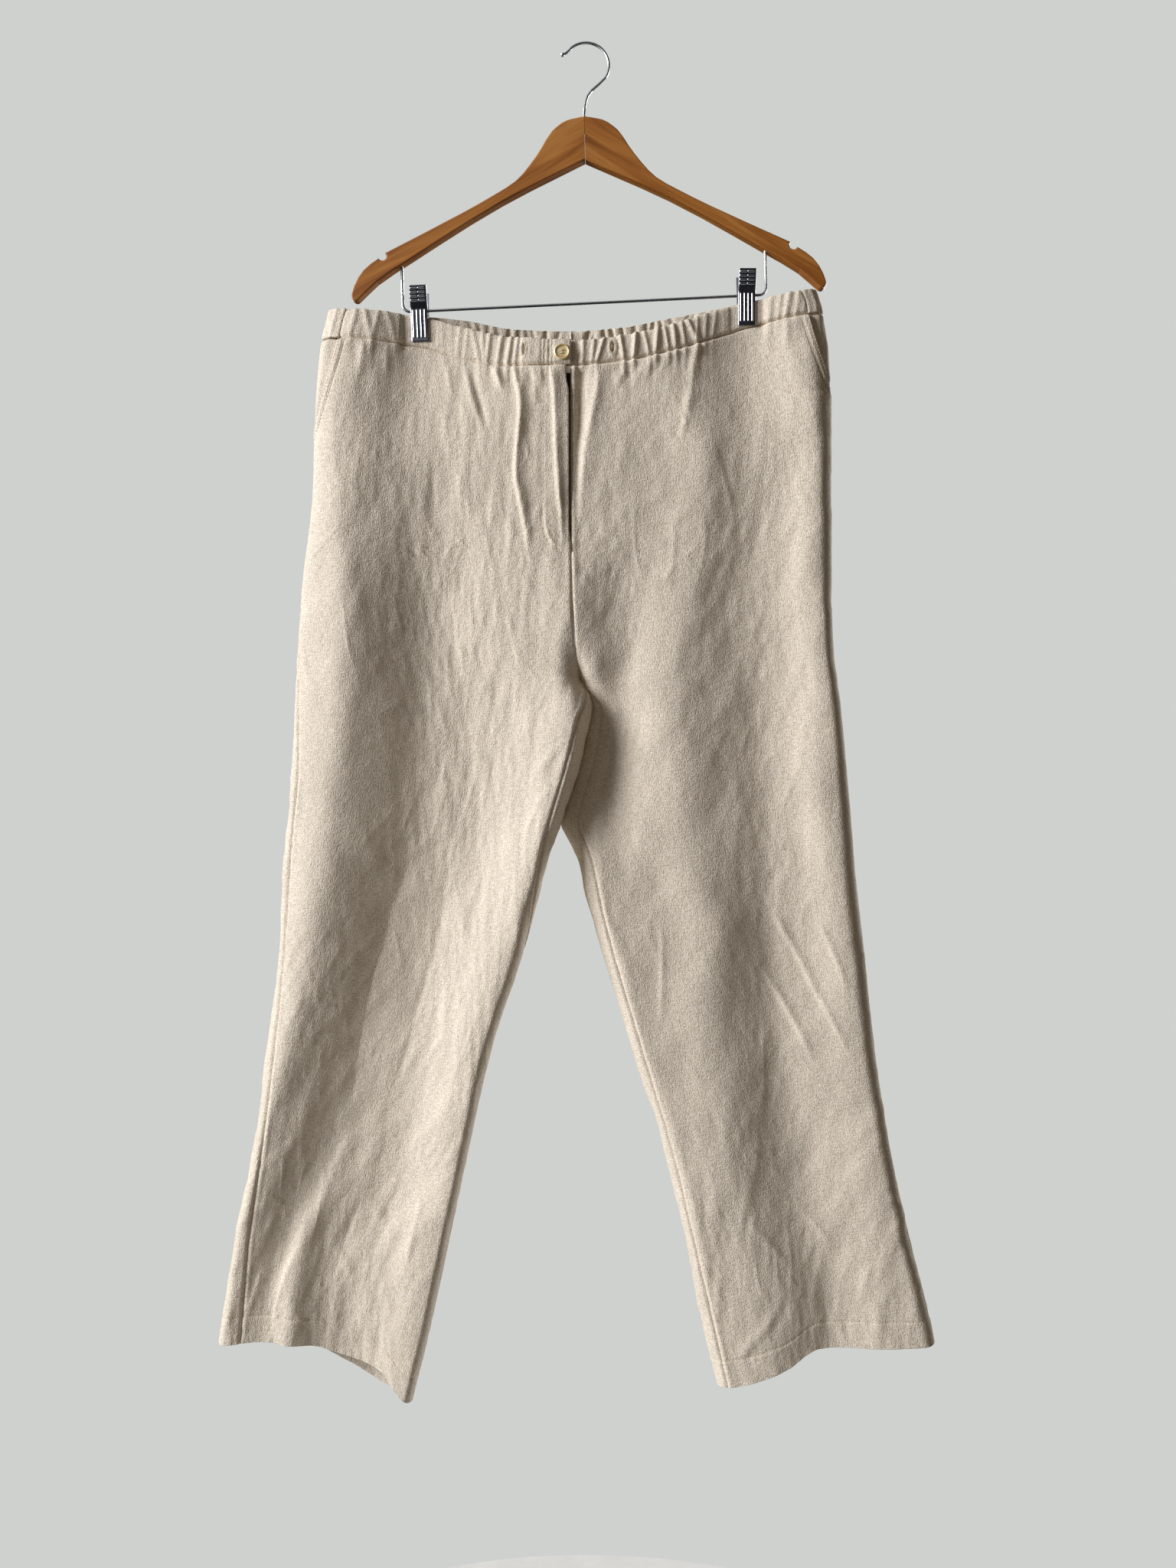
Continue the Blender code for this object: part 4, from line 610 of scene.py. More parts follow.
def even_columns(side, starts, ends, levels, layer, spacing):
    """Around values a row, evenly spaced along the cloth and closer together at its two edges."""
    share = np.linspace(0.0, 1.0, 241)
    around = starts[:, None] + (ends - starts)[:, None] * share[None, :]
    here = around >= 0 if layer == "front" else on_front(around) & (around != 1.0)
    points = ring(side, around, np.asarray(levels, float)[:, None], here)
    run = np.linalg.norm(np.diff(points, axis=1), axis=-1)
    run = np.concatenate([np.zeros((len(run), 1)), np.cumsum(run, axis=1)], axis=1)
    length = run[:, -1:]
    count = max(4, int(round(float(length.max()) / spacing)))
    edge = np.array(EDGE_STEPS)
    middle = edge[-1] + (length - 2 * edge[-1]) * np.linspace(0.0, 1.0, count)[None, 1:-1]
    places = np.hstack([edge + 0 * length, middle, length - edge[::-1]])
    found = [np.interp(places[i], run[i], around[i]) for i in range(len(places))]
    return np.array(found), places, length - places


EDGE_STEPS = (0.0, 0.35, 0.8, 1.5, 2.5, 4.0)
HEM_DEPTH = 25.0
# The fronts' creases run mostly upright, so their grid is finer across.
ACROSS_SPACING = {"front": 1.7, "back": 2.6}
DOWN_SPACING = {"front": 4.0, "back": 4.6}


def panel_levels(layer):
    """Rows from the waistband's seam to the hem, closer together at both and at rows of stitches."""
    top = [WAIST_LEVEL - step for step in EDGE_STEPS]
    curved = list(np.arange(-460.0, -489.0, -1.3)) if layer == "front" else []
    stitched = [HEM_LEVEL + HEM_DEPTH + step for step in (3.2, 1.8, 0.9, 0.0, -0.9, -1.8, -3.2)]
    bottom = [HEM_LEVEL + step for step in EDGE_STEPS[::-1]]
    levels = list(top)
    for rows in filter(len, (curved, stitched, bottom)):
        count = int((levels[-1] - rows[0]) / DOWN_SPACING[layer])
        levels += list(np.linspace(levels[-1], rows[0], count)[1:-1]) + rows
    return np.array(levels)


class Grid:
    """A piece of cloth as a grid: its outer face, normals, and how far each place is from its edges."""

    def __init__(self, side, layer, levels, around, from_start, from_end):
        self.side = side
        self.layer = layer
        self.levels = np.asarray(levels, float)
        self.around = around
        self.from_start = from_start
        self.from_end = from_end
        self.points, self.normals = form_points(side, around, levels, layer)

    def lift(self, height):
        self.points = self.points + self.normals * np.asarray(height)[..., None]

    def row_at(self, level):
        """The points and normals along one level."""
        order = np.argsort(self.levels)
        place = np.interp(level, self.levels[order], order.astype(float))
        low = int(place)
        high = min(low + 1, len(self.levels) - 1)
        t = place - low
        return (self.points[low] * (1 - t) + self.points[high] * t,
                self.normals[low] * (1 - t) + self.normals[high] * t)

    def column_at(self, distance, from_end=False):
        """The points and normals of a line that keeps its distance from an edge."""
        points, normals = [], []
        for i in range(len(self.levels)):
            run = self.from_end[i][::-1] if from_end else self.from_start[i]
            row = self.points[i][::-1] if from_end else self.points[i]
            normal = self.normals[i][::-1] if from_end else self.normals[i]
            points.append([np.interp(distance, run, row[:, k]) for k in range(3)])
            normals.append([np.interp(distance, run, normal[:, k]) for k in range(3)])
        return np.array(points), np.array(normals)

    def at_places(self, places):
        """The points and normals nearest to places given as x and height, as seen from the front."""
        points, normals = [], []
        for x, z in places:
            found = []
            for i in range(len(self.levels)):
                row = self.points[i]
                order = np.argsort(row[:, 0])
                c = np.interp(x, row[order, 0], order.astype(float))
                low = int(c)
                high = min(low + 1, len(row) - 1)
                t = c - low
                found.append(np.concatenate([row[low] * (1 - t) + row[high] * t,
                                             self.normals[i][low] * (1 - t) + self.normals[i][high] * t]))
            found = np.array(found)
            order = np.argsort(found[:, 2])
            best = [np.interp(z, found[order, 2], found[order, k]) for k in range(6)]
            points.append(best[:3])
            normals.append(best[3:])
        return np.array(points), np.array(normals)


def seam_dip(distance):
    """The groove beside a seam."""
    return -1.2 * bell(distance, 1.3) + 0.35 * bell(distance - 3.4, 1.5)


def pucker(along, distance, reach, seed):
    """Small ripples that a line of sewing pulls into the cloth beside it."""
    none = 0 * along
    ripple = 0.6 * rumple(along, none, 7.0, 7.0, seed) + 0.4 * rumple(along, none, 3.4, 7.0, seed + 1)
    return ripple * bell(distance, reach)


def rumples(grid):
    """The unpressed linen's soft crinkles, large and small, most of them upright like its warp."""
    x, z = grid.points[..., 0], grid.points[..., 2]
    seed = {"front": 100, "back": 200}[grid.layer]
    x = x + 5.0 * rumple(x, z, 60.0, 75.0, seed) + 0.12 * z * rumple(x, z, 160.0, 300.0, seed + 1)
    total = 1.0 * rumple(x, z, 31.0, 80.0, seed + 2) + 0.6 * rumple(x, z, 12.5, 36.0, seed + 3)
    total += 0.36 * rumple(x, z, 6.6, 16.0, seed + 4) + 0.17 * rumple(x + 0.3 * z, z, 4.2, 7.5, seed + 5)
    # Here and there a sharper one, where the cloth has been folded.
    for lean, width, height, own in ((0.2, 19.0, 60.0, 6), (-0.5, 16.0, 38.0, 7), (1.5, 15.0, 30.0, 8)):
        edge = 1 - 4.2 * np.abs(rumple(x + lean * z, z, width, height, seed + own))
        here = ease(rumple(x, z, 55.0, 50.0, seed + own + 10), 0.0, 0.6)
        total += 0.62 * np.clip(edge, 0.0, 1.0) ** 1.5 * here
    return total


def panel_relief(grid, settings):
    """Everything that stands out of or into a leg panel, besides the soft folds."""
    x, z = grid.points[..., 0], grid.points[..., 2]
    start, end = grid.from_start, grid.from_end
    level = grid.levels[:, None]
    below = WAIST_LEVEL - level
    above_hem = level - HEM_LEVEL
    pinch = clip_pinch(x, z)
    open_edge = pocket_or_fly(grid)
    free = ease(start, 0.5, 9.0) * ease(end, 0.5, 9.0)
    own = crease_height(grid.layer, x, z) + rumples(grid) * settings.rumple
    own = own * ease(below, 0.0, 9.0) * (1 - 0.8 * pinch)
    total = own * np.maximum(free, 0.75 * open_edge)
    gathers = gather_height(grid.layer, grid.side, x, 0.0) * np.exp(-below / 12.0) * 1.15
    total += gathers * (1 - pinch) * ease(end, 0.0, 5.0)
    total += -WAIST_GROOVE * bell(below, 1.5) + (1 - pinch) * 1.1 * bell(below - 4.5, 3.6)
    for distance, is_open, seed in ((start, open_edge_start(grid), 31), (end, open_edge_end(grid), 37)):
        sewn = seam_dip(distance) + 0.35 * pucker(z, distance - 2.0, 5.0, seed)
        folded = -0.5 * bell(distance, 0.5)
        total += sewn * (1 - is_open) + folded * is_open
    if grid.layer == "front":
        total += ease(below, 0.0, 6.0) * stitched_strip(start - POCKET_STRIP, 0.9) * open_edge_start(grid)
        if grid.side == "right":
            total += placket_rise(x, z)
    from_stitches = above_hem - settings.hem
    total += -0.4 * bell(from_stitches, 1.1) + 0.15 * ease(from_stitches, 0.5, -1.5)
    total += 0.6 * pucker(x, from_stitches, 9.0, 41) + 0.35 * pucker(x, above_hem, 7.0, 43)
    return total


def stitched_strip(beyond, rise):
    """The thick folded strip beside an edge, which ends at a sunken line of stitches."""
    return rise * ease(beyond, 0.5, -0.9) - 0.8 * bell(beyond, 0.8)


def placket_rise(x, z):
    """The fly's placket, three layers thick, with its stitches sunk into its curved edge."""
    edge = FLY_STITCH_LINE(z)
    slope = (FLY_STITCH_LINE(z + 1.0) - FLY_STITCH_LINE(z - 1.0)) / 2
    beyond = (edge - x) / np.sqrt(1 + slope**2)
    below = FLY_STITCHES[-1][0]
    firm = 0.35 + 0.95 * ease(z, -430.0, -458.0)
    return firm * stitched_strip(beyond, 0.9) * ease(z, below - 0.6, below + 1.5) * ease(z, -300.0, -312.0)


def open_edge_start(grid):
    """1 along a front's pocket edge, where it isn't sewn to its neighbour."""
    if grid.layer != "front":
        return 0.0 * grid.levels[:, None]
    end = POCKETS[grid.side][1][1]
    heights = actual_heights(grid.side, NEAR_POCKET, grid.levels)
    return ease(heights, end - 4.0, end + 10.0)[:, None]


def open_edge_end(grid):
    """1 along the right front's edge at the fly slot."""
    if grid.layer != "front" or grid.side != "right":
        return 0.0 * grid.levels[:, None]
    heights = actual_heights(grid.side, NEAR_CENTRE, grid.levels)
    return ease(heights, FLY_END - 2.0, FLY_END + 10.0)[:, None]


def pocket_or_fly(grid):
    """1 beside an edge that isn't sewn, where the cloth's unevenness runs out to the edge."""
    near_start = ease(grid.from_start, 12.0, 2.0) * open_edge_start(grid)
    near_end = ease(grid.from_end, 12.0, 2.0) * open_edge_end(grid)
    return np.maximum(near_start, near_end) * 0.4


# ---------------------------------------------------------------- meshes


def metres(points):
    """Millimetres from the hook's outer top to metres from the origin, its inside top."""
    return (np.asarray(points, float) + (0.0, 0.0, HOOK_WIRE)) * MM


def new_object(name, data):
    made = bpy.data.objects.new(name, data)
    bpy.context.scene.collection.objects.link(made)
    return made


def new_mesh(name, vertices, quads, triangles=()):
    """A smooth mesh object from vertices in metres and arrays of faces."""
    mesh = bpy.data.meshes.new(name)
    quads = np.asarray(quads, np.int32).reshape(-1, 4)
    triangles = np.asarray(triangles, np.int32).reshape(-1, 3)
    mesh.vertices.add(len(vertices))
    mesh.vertices.foreach_set("co", np.asarray(vertices, np.float32).ravel())
    corners = np.concatenate([quads.ravel(), triangles.ravel()])
    sizes = np.concatenate([np.full(len(quads), 4), np.full(len(triangles), 3)]).astype(np.int32)
    mesh.loops.add(len(corners))
    mesh.loops.foreach_set("vertex_index", corners)
    mesh.polygons.add(len(sizes))
    mesh.polygons.foreach_set("loop_start", np.concatenate([[0], np.cumsum(sizes)[:-1]]).astype(np.int32))
    mesh.update(calc_edges=True)
    mesh.validate()
    mesh.shade_smooth()
    return new_object(name, mesh)


def wall_quads(rows, columns):
    """Faces of a closed wall: a grid outside, the same grid inside, and the four edges."""
    inside = rows * columns
    index = np.arange(inside).reshape(rows, columns)
    a, b, c, d = index[:-1, :-1], index[:-1, 1:], index[1:, 1:], index[1:, :-1]
    outer = np.stack([a, b, c, d], axis=-1).reshape(-1, 4)
    rim = np.concatenate([index[0], index[1:, -1], index[-1, -2::-1], index[-2:0:-1, 0]])
    there = np.roll(rim, -1)
    edge = np.stack([there, rim, rim + inside, there + inside], axis=-1)
    return np.concatenate([outer, outer[:, ::-1] + inside, edge])


def wall_mesh(name, points, normals, thickness, mirrored=False):
    """A closed wall: its outer face at the points, and its inner face the thickness behind."""
    inner = points - normals * np.broadcast_to(thickness, points.shape[:2])[..., None]
    vertices = metres(np.concatenate([points.reshape(-1, 3), inner.reshape(-1, 3)]))
    quads = wall_quads(*points.shape[:2])
    return new_mesh(name, vertices, quads[:, ::-1] if mirrored else quads)


def cloth_mesh(name, grid, thickness):
    """The wall of a grid, with a thickness a row."""
    made = wall_mesh(name, grid.points, grid.normals, thickness[:, None], grid.side == "left")
    rows, columns = grid.points.shape[:2]
    # The weave follows the cut: down the panel, and across it from a straight grain line in its middle.
    line = {"front": 0.5, "back": 1.5}[grid.layer]
    middle = [np.interp(line, around, run) for around, run in zip(grid.around, grid.from_start)]
    across = (np.broadcast_to(grid.from_start, (rows, columns)) - np.array(middle)[:, None]) * MM
    down = np.broadcast_to(grid.levels[:, None], (rows, columns)) * MM
    place = np.stack([across, down], axis=-1).reshape(-1, 2)
    place = np.concatenate([place, place])
    layer = made.data.uv_layers.new(name="weave")
    corners = np.zeros(len(made.data.loops), np.int32)
    made.data.loops.foreach_get("vertex_index", corners)
    layer.uv.foreach_set("vector", place[corners].astype(np.float32).ravel())
    return made


def resample(points, normals, pitch):
    """Places one pitch apart along a line, with the direction of the line and the normal there."""
    run = np.concatenate([[0.0], np.cumsum(np.linalg.norm(np.diff(points, axis=0), axis=1))])
    places = np.arange(pitch / 2, run[-1], pitch)
    at = np.stack([np.interp(places, run, points[:, k]) for k in range(3)], axis=1)
    ahead = np.stack([np.interp(places + pitch / 4, run, points[:, k]) for k in range(3)], axis=1)
    behind = np.stack([np.interp(places - pitch / 4, run, points[:, k]) for k in range(3)], axis=1)
    normal = np.stack([np.interp(places, run, normals[:, k]) for k in range(3)], axis=1)
    return at, unit(ahead - behind), unit(normal)


def unit(vectors):
    return vectors / np.maximum(np.linalg.norm(vectors, axis=-1, keepdims=True), 1e-9)


def stitch_mesh(name, rows, colour_material, length=STITCH_LENGTH, thread=THREAD):
    """Stitches in one mesh. rows are lists of places, directions and normals in millimetres."""
    at = np.concatenate([row[0] for row in rows])
    along = np.concatenate([row[1] for row in rows])
    normal = np.concatenate([row[2] for row in rows])
    aside = unit(np.cross(along, normal))
    # One stitch: rings of six points along its length, sunk into the cloth at both ends.
    corners = 6
    shares = np.array([-0.5, -0.38, 0.0, 0.38, 0.5])
    sizes = np.array([0.35, 0.85, 1.0, 0.85, 0.35]) * thread / 2
    rises = np.array([-0.22, 0.02, 0.12, 0.02, -0.22])
    angles = np.arange(corners) * math.pi / 3
    ring_points = []
    for share, size, rise in zip(shares, sizes, rises):
        centre = at + along * (share * length) + normal * rise
        for angle in angles:
            ring_points.append(centre + aside * (size * math.cos(angle)) + normal * (size * math.sin(angle)))
    vertices = np.stack(ring_points, axis=1)
    quads = []
    for i in range(len(shares) - 1):
        for j in range(corners):
            a, b = i * corners + j, i * corners + (j + 1) % corners
            quads.append((a, b, b + corners, a + corners))
    last = (len(shares) - 1) * corners
    quads += [(3, 2, 1, 0), (5, 4, 3, 0)]
    quads += [(last, last + 1, last + 2, last + 3), (last, last + 3, last + 4, last + 5)]
    first = np.arange(len(at)) * len(shares) * corners
    faces = (np.array(quads)[None] + first[:, None, None]).reshape(-1, 4)
    made = new_mesh(name, metres(vertices.reshape(-1, 3)), faces)
    made.data.materials.append(colour_material)
    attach(made, ROOT)
    return made


def stitch_line(points, normals, pitch=STITCH_LENGTH + STITCH_GAP):
    return resample(np.asarray(points), np.asarray(normals), pitch)


# ---------------------------------------------------------------- materials


def linear(hex_colour):
    """An sRGB hex colour as linear red, green, blue and full alpha."""
    channels = [int(hex_colour[i:i + 2], 16) / 255 for i in (1, 3, 5)]
    return (*[c / 12.92 if c <= 0.04045 else ((c + 0.055) / 1.055) ** 2.4 for c in channels], 1.0)


def add_node(tree, kind, sockets=(), **options):
    """Adds a node: options are its settings, and sockets are pairs of an input and a value or an output."""
    made = tree.nodes.new("ShaderNode" + kind)
    for option, value in options.items():
        setattr(made, option, value)
    for key, value in sockets:
        if isinstance(value, bpy.types.NodeSocket):
            tree.links.new(value, made.inputs[key])
        else:
            made.inputs[key].default_value = value
    return made


def new_material(name):
    material = bpy.data.materials.new(name)
    material.use_nodes = True
    material.node_tree.nodes.clear()
    return material, material.node_tree


def finish_material(tree, sockets):
    shader = add_node(tree, "BsdfPrincipled", sockets)
    add_node(tree, "OutputMaterial", [("Surface", shader.outputs["BSDF"])])


def ramp(tree, factor, stops):
    """A colour ramp from a list of places and hex colours."""
    made = add_node(tree, "ValToRGB", [("Fac", factor)])
    elements = made.color_ramp.elements
    while len(elements) < len(stops):
        elements.new(0.5)
    for element, (place, colour) in zip(elements, stops):
        element.position = place
        element.color = linear(colour)
    return made.outputs["Color"]


def noise_at(tree, place, scale, detail=2.0, distortion=0.0, **options):
    """A noise pattern, as a value from 0 to 1."""
    return add_node(tree, "TexNoise", [("Vector", place), ("Scale", scale), ("Detail", detail),
                                       ("Distortion", distortion)], **options).outputs["Fac"]


def stretched(tree, place, scale, rotation=(0.0, 0.0, 0.0)):
    """A place scaled and turned, so that a pattern there is long in one direction."""
    sockets = [("Vector", place), ("Scale", scale), ("Rotation", rotation)]
    return add_node(tree, "Mapping", sockets).outputs["Vector"]


def mapped(tree, value, source, target):
    """A value that runs over the range source, made to run over the range target."""
    names = ("From Min", "From Max", "To Min", "To Max")
    made = add_node(tree, "MapRange", [("Value", value), *zip(names, (*source, *target))])
    return made.outputs["Result"]


# The linen's patterns, by their width across and length down the cloth, in threads, and their detail.
WEAVE_PATTERNS = (("warp", 1.5, 7.0, 1.0), ("weft", 9.0, 1.5, 1.0), ("grain", 1.8, 2.0, 1.0),
                  ("knots", 3.0, 3.0, 0.0), ("crinkle", 9.0, 13.0, 3.0))


def plain_weave_linen(settings):
    """Undyed linen in plain weave, washed and unpressed.

    The yarns are thick and thin by turns, so each shows as a faint short streak, lighter or darker than its
    neighbours, down the warp and across the weft, and they stand out as a fine grain in light from the side.
    A few have a slub, a short thick place that shows as a knot. The cloth between them is slightly crinkled.
    """
    material, tree = new_material("plain_weave_linen")
    thread = settings.thread_spacing
    place = add_node(tree, "UVMap", uv_map="weave").outputs["UV"]
    noise = {}
    for name, across, down, detail in WEAVE_PATTERNS:
        threads = stretched(tree, place, (1 / (across * thread), 1 / (down * thread), 1.0))
        noise[name] = noise_at(tree, threads, 1.0, detail, noise_dimensions="2D")
    total = add_node(tree, "Math", [(0, noise["warp"]), (1, 0.26)], operation="MULTIPLY").outputs[0]
    for name, weight in (("weft", 0.3), ("grain", 0.44)):
        total = add_node(tree, "Math", [(0, noise[name]), (1, weight), (2, total)],
                         operation="MULTIPLY_ADD").outputs[0]
    yarn = ramp(tree, total, (
        (0.38, settings.dark_yarn), (0.5, settings.mid_yarn), (0.62, settings.light_yarn)))
    mottle = noise_at(tree, place, 22.0, 4.0, noise_dimensions="2D")
    tone = mapped(tree, mottle, (0.3, 0.7), (0.96, 1.03))
    toned = add_node(tree, "VectorMath", [(0, yarn), (1, tone)], operation="MULTIPLY")
    knots = mapped(tree, noise["knots"], (0.76, 0.84), (0.0, 0.9))
    height = add_node(tree, "Math", [(0, total), (1, 3.4), (2, knots)], operation="MULTIPLY_ADD")
    height = add_node(tree, "Math", [(0, noise["crinkle"]), (1, 1.5), (2, height.outputs[0])],
                      operation="MULTIPLY_ADD")
    bump = add_node(tree, "Bump", [("Strength", 0.6), ("Distance", 0.0005), ("Height", height.outputs[0])])
    finish_material(tree, [("Base Color", toned.outputs[0]), ("Roughness", 0.88), ("IOR", 1.45),
                           ("Specular IOR Level", 0.25), ("Sheen Weight", 0.12), ("Sheen Roughness", 0.5),
                           ("Normal", bump.outputs["Normal"])])
    return material


def spun_thread(settings):
    """Polyester-cotton sewing thread, two plies twisted: slightly shinier and evener than the linen."""
    material, tree = new_material("spun_sewing_thread")
    place = add_node(tree, "TexCoord").outputs["Object"]
    twist = noise_at(tree, place, 900.0, 1.0)
    colour = ramp(tree, twist, ((0.35, settings.thread_dark), (0.65, settings.thread_light)))
    finish_material(tree, [("Base Color", colour), ("Roughness", 0.7), ("Sheen Weight", 0.1)])
    return material


def woven_tape(settings):
    """The zip's polyester tape, woven in fine ribs that run across it, and coloured very dark brown so that
    the fly slot in front of it shows dark.
    """
    material, tree = new_material("woven_zip_tape")
    place = add_node(tree, "TexCoord").outputs["Object"]
    ribs = noise_at(tree, stretched(tree, place, (120.0, 120.0, 1100.0)), 1.0)
    colour = ramp(tree, ribs, ((0.35, settings.tape_dark), (0.7, settings.tape_light)))
    bump = add_node(tree, "Bump", [("Strength", 0.4), ("Distance", 0.0004), ("Height", ribs)])
    finish_material(tree, [("Base Color", colour), ("Roughness", 0.75), ("Normal", bump.outputs["Normal"])])
    return material


def polished_horn(settings):
    """A turned and polished button of pale horn or casein: cloudy layers under a soft gloss."""
    material, tree = new_material("polished_horn")
    place = add_node(tree, "TexCoord").outputs["Object"]
    layers = stretched(tree, place, (90.0, 90.0, 320.0), (0.0, 0.6, 0.0))
    cloud = noise_at(tree, layers, 1.0, 3.0, 0.8)
    colour = ramp(tree, cloud, (
        (0.3, settings.horn_dark), (0.52, settings.horn_mid), (0.72, settings.horn_light)))
    finish_material(tree, [("Base Color", colour), ("Roughness", 0.3), ("IOR", 1.54),
                           ("Coat Weight", 0.3), ("Coat Roughness", 0.12)])
    return material


def varnished_wood(settings, lean):
    """Hardwood, sawn, rounded over and dipped in tinted varnish: soft streaks along the arm, low gloss.

    lean is the angle of the arm in the hanger's plane, so that the grain runs along it.
    """
    material, tree = new_material("varnished_hardwood")
    place = add_node(tree, "TexCoord").outputs["Object"]
    along = add_node(tree, "Mapping", [("Vector", place), ("Rotation", (0.0, lean, 0.0))]).outputs["Vector"]
    streak = noise_at(tree, stretched(tree, along, (9.0, 120.0, 120.0)), 1.0, 4.0, 0.5)
    pores = noise_at(tree, stretched(tree, along, (40.0, 900.0, 900.0)), 1.0, 2.0)
    body = ramp(tree, streak, (
        (0.28, settings.wood_dark), (0.5, settings.wood_mid), (0.75, settings.wood_light)))
    pored = mapped(tree, pores, (0.25, 0.45), (0.8, 1.0))
    colour = add_node(tree, "VectorMath", [(0, body), (1, pored)], operation="MULTIPLY")
    gloss = mapped(tree, streak, (0.0, 1.0), (0.3, 0.46))
    bump = add_node(tree, "Bump", [("Strength", 0.15), ("Distance", 0.0003), ("Height", pores)])
    finish_material(tree, [("Base Color", colour.outputs[0]), ("Roughness", gloss),
                           ("Coat Weight", 0.35), ("Coat Roughness", 0.2),
                           ("Normal", bump.outputs["Normal"])])
    return material


def bright_plating(name, colour, roughness, smear):
    """Nickel or chromium plate on drawn wire or pressed steel: mirror-like, with faint handling marks."""
    material, tree = new_material(name)
    place = add_node(tree, "TexCoord").outputs["Object"]
    marks = noise_at(tree, place, 260.0, 3.0)
    gloss = mapped(tree, marks, (0.3, 0.7), (roughness, roughness + smear))
    finish_material(tree, [("Base Color", linear(colour)), ("Metallic", 1.0), ("Roughness", gloss)])
    return material


def painted_floor(settings):
    """A plain pale floor with a matt, slightly uneven coat of paint."""
    material, tree = new_material("matt_floor_paint")
    place = add_node(tree, "TexCoord").outputs["Object"]
    roller = noise_at(tree, place, 30.0, 4.0)
    colour = ramp(tree, roller, ((0.3, settings.floor_shade), (0.7, settings.floor)))
    finish_material(tree, [("Base Color", colour), ("Roughness", 0.8)])
    return material


def once(name, make):
    """A material by name, made the first time it is asked for."""
    return bpy.data.materials.get(name) or make()


# ---------------------------------------------------------------- settings


def colour_setting(name, description, hex_colour):
    return bpy.props.StringProperty(name=name, description=description, default=hex_colour)


class TrousersSettings(bpy.types.PropertyGroup):
    """Sizes and colours of the cloth, its sewing and its button."""

    wall: bpy.props.FloatProperty(
        name="Cloth", description="Thickness of one layer with its fluff, in millimetres",
        default=0.9, min=0.3)
    hem: bpy.props.FloatProperty(
        name="Hem", description="Depth of the turned-up hem, in millimetres", default=HEM_DEPTH, min=10.0)
    rumple: bpy.props.FloatProperty(
        name="Rumple", description="How uneven the unpressed cloth is", default=1.0, min=0.0, max=3.0)
    thread_spacing: bpy.props.FloatProperty(
        name="Thread spacing", description="Distance between two yarns", default=0.0007, unit="LENGTH")
    light_yarn: colour_setting("Light yarn", "Palest yarn", "#F2E8D9")
    mid_yarn: colour_setting("Middle yarn", "Commonest yarn", "#E5D8C6")
    dark_yarn: colour_setting("Dark yarn", "Darkest yarn", "#D2C3AD")
    thread_light: colour_setting("Thread", "Sewing thread, lit", "#E6DAC2")
    thread_dark: colour_setting("Thread shade", "Between its plies", "#C9B999")
    tape_light: colour_setting("Zip tape", "Ribs of the tape", "#4A3326")
    tape_dark: colour_setting("Zip tape shade", "Between the ribs", "#241712")
    horn_light: colour_setting("Horn, light", "Palest clouds", "#F5EACB")
    horn_mid: colour_setting("Horn", "Body of the button", "#E3CE9A")
    horn_dark: colour_setting("Horn, dark", "Darkest clouds", "#BF9F66")


class HangerSettings(bpy.types.PropertyGroup):
    """Colours of the hanger."""

    wood_light: colour_setting("Wood, light", "Palest streaks", "#C98A45")
    wood_mid: colour_setting("Wood", "Body of the wood", "#B06F2E")
    wood_dark: colour_setting("Wood, dark", "Darkest streaks", "#8A4F1C")
    wire: colour_setting("Wire", "Plating of hook and bar", "#B9B9BB")
    clip: colour_setting("Clips", "Plating of the clips", "#A2A3A8")


class StudioSettings(bpy.types.PropertyGroup):
    """Floor, light and camera."""

    floor: colour_setting("Floor", "Colour of the floor", "#E4E4E1")
    floor_shade: colour_setting("Floor shade", "Its darker places", "#DCDCD9")
    floor_drop: bpy.props.FloatProperty(
        name="Floor drop", description="From the hook down to the floor", default=1.78, unit="LENGTH")
    key_power: bpy.props.FloatProperty(
        name="Key light", description="Power of the large light on the left, in watts", default=345.0)
    back_power: bpy.props.FloatProperty(
        name="Back light", description="Power of the light behind, in watts", default=200.0)
    surround: colour_setting("Surroundings", "Colour of the empty studio", "#CFD1CE")
    fill: bpy.props.FloatProperty(
        name="Fill", description="How much the studio itself lights the cloth", default=0.115)
    distance: bpy.props.FloatProperty(
        name="Camera distance", description="From the hanger's plane to the lens",
        default=1.25, unit="LENGTH")


# ---------------------------------------------------------------- pieces of the trousers

GRIDS = {}


def panel_grid(side, layer):
    """The grid of a front or a back, from the waistband's seam to the hem."""
    levels = panel_levels(layer)
    if layer == "front":
        starts = pocket_around(side, actual_heights(side, NEAR_POCKET, levels))
        heights = actual_heights(side, NEAR_CENTRE, levels)
        inseam = seam_around(side, heights)[1]
        fly = around_at(side, FLY_EDGE(heights), heights) if side == "right" else np.ones(len(levels))
        ends = np.where(heights > FLY_END, fly, np.where(heights > CROTCH - 1, 1.0, inseam))
    else:
        heights = actual_heights(side, 1.0, levels)
        inseam = seam_around(side, heights)[1]
        starts = np.where(heights > CROTCH - 1, 1.0, inseam)
        ends = 2.0 + seam_around(side, actual_heights(side, 0.0, levels))[0]
    around, from_start, from_end = even_columns(side, starts, ends, levels, layer, ACROSS_SPACING[layer])
    return Grid(side, layer, levels, around, from_start, from_end)


def make_panel(side, layer, settings):
    grid = panel_grid(side, layer)
    grid.lift(CLOTH / 2 + panel_relief(grid, settings))
    GRIDS[layer, side] = grid
    # The hem is turned up, so it is three layers there: the wall grows inwards.
    hem = ease(grid.levels, HEM_LEVEL + settings.hem + 1.0, HEM_LEVEL + settings.hem - 1.0)
    made = cloth_mesh(f"linen_{layer}_{side}", grid, settings.wall * (1 + hem))
    sew_in(made, f"{layer}_{side}")


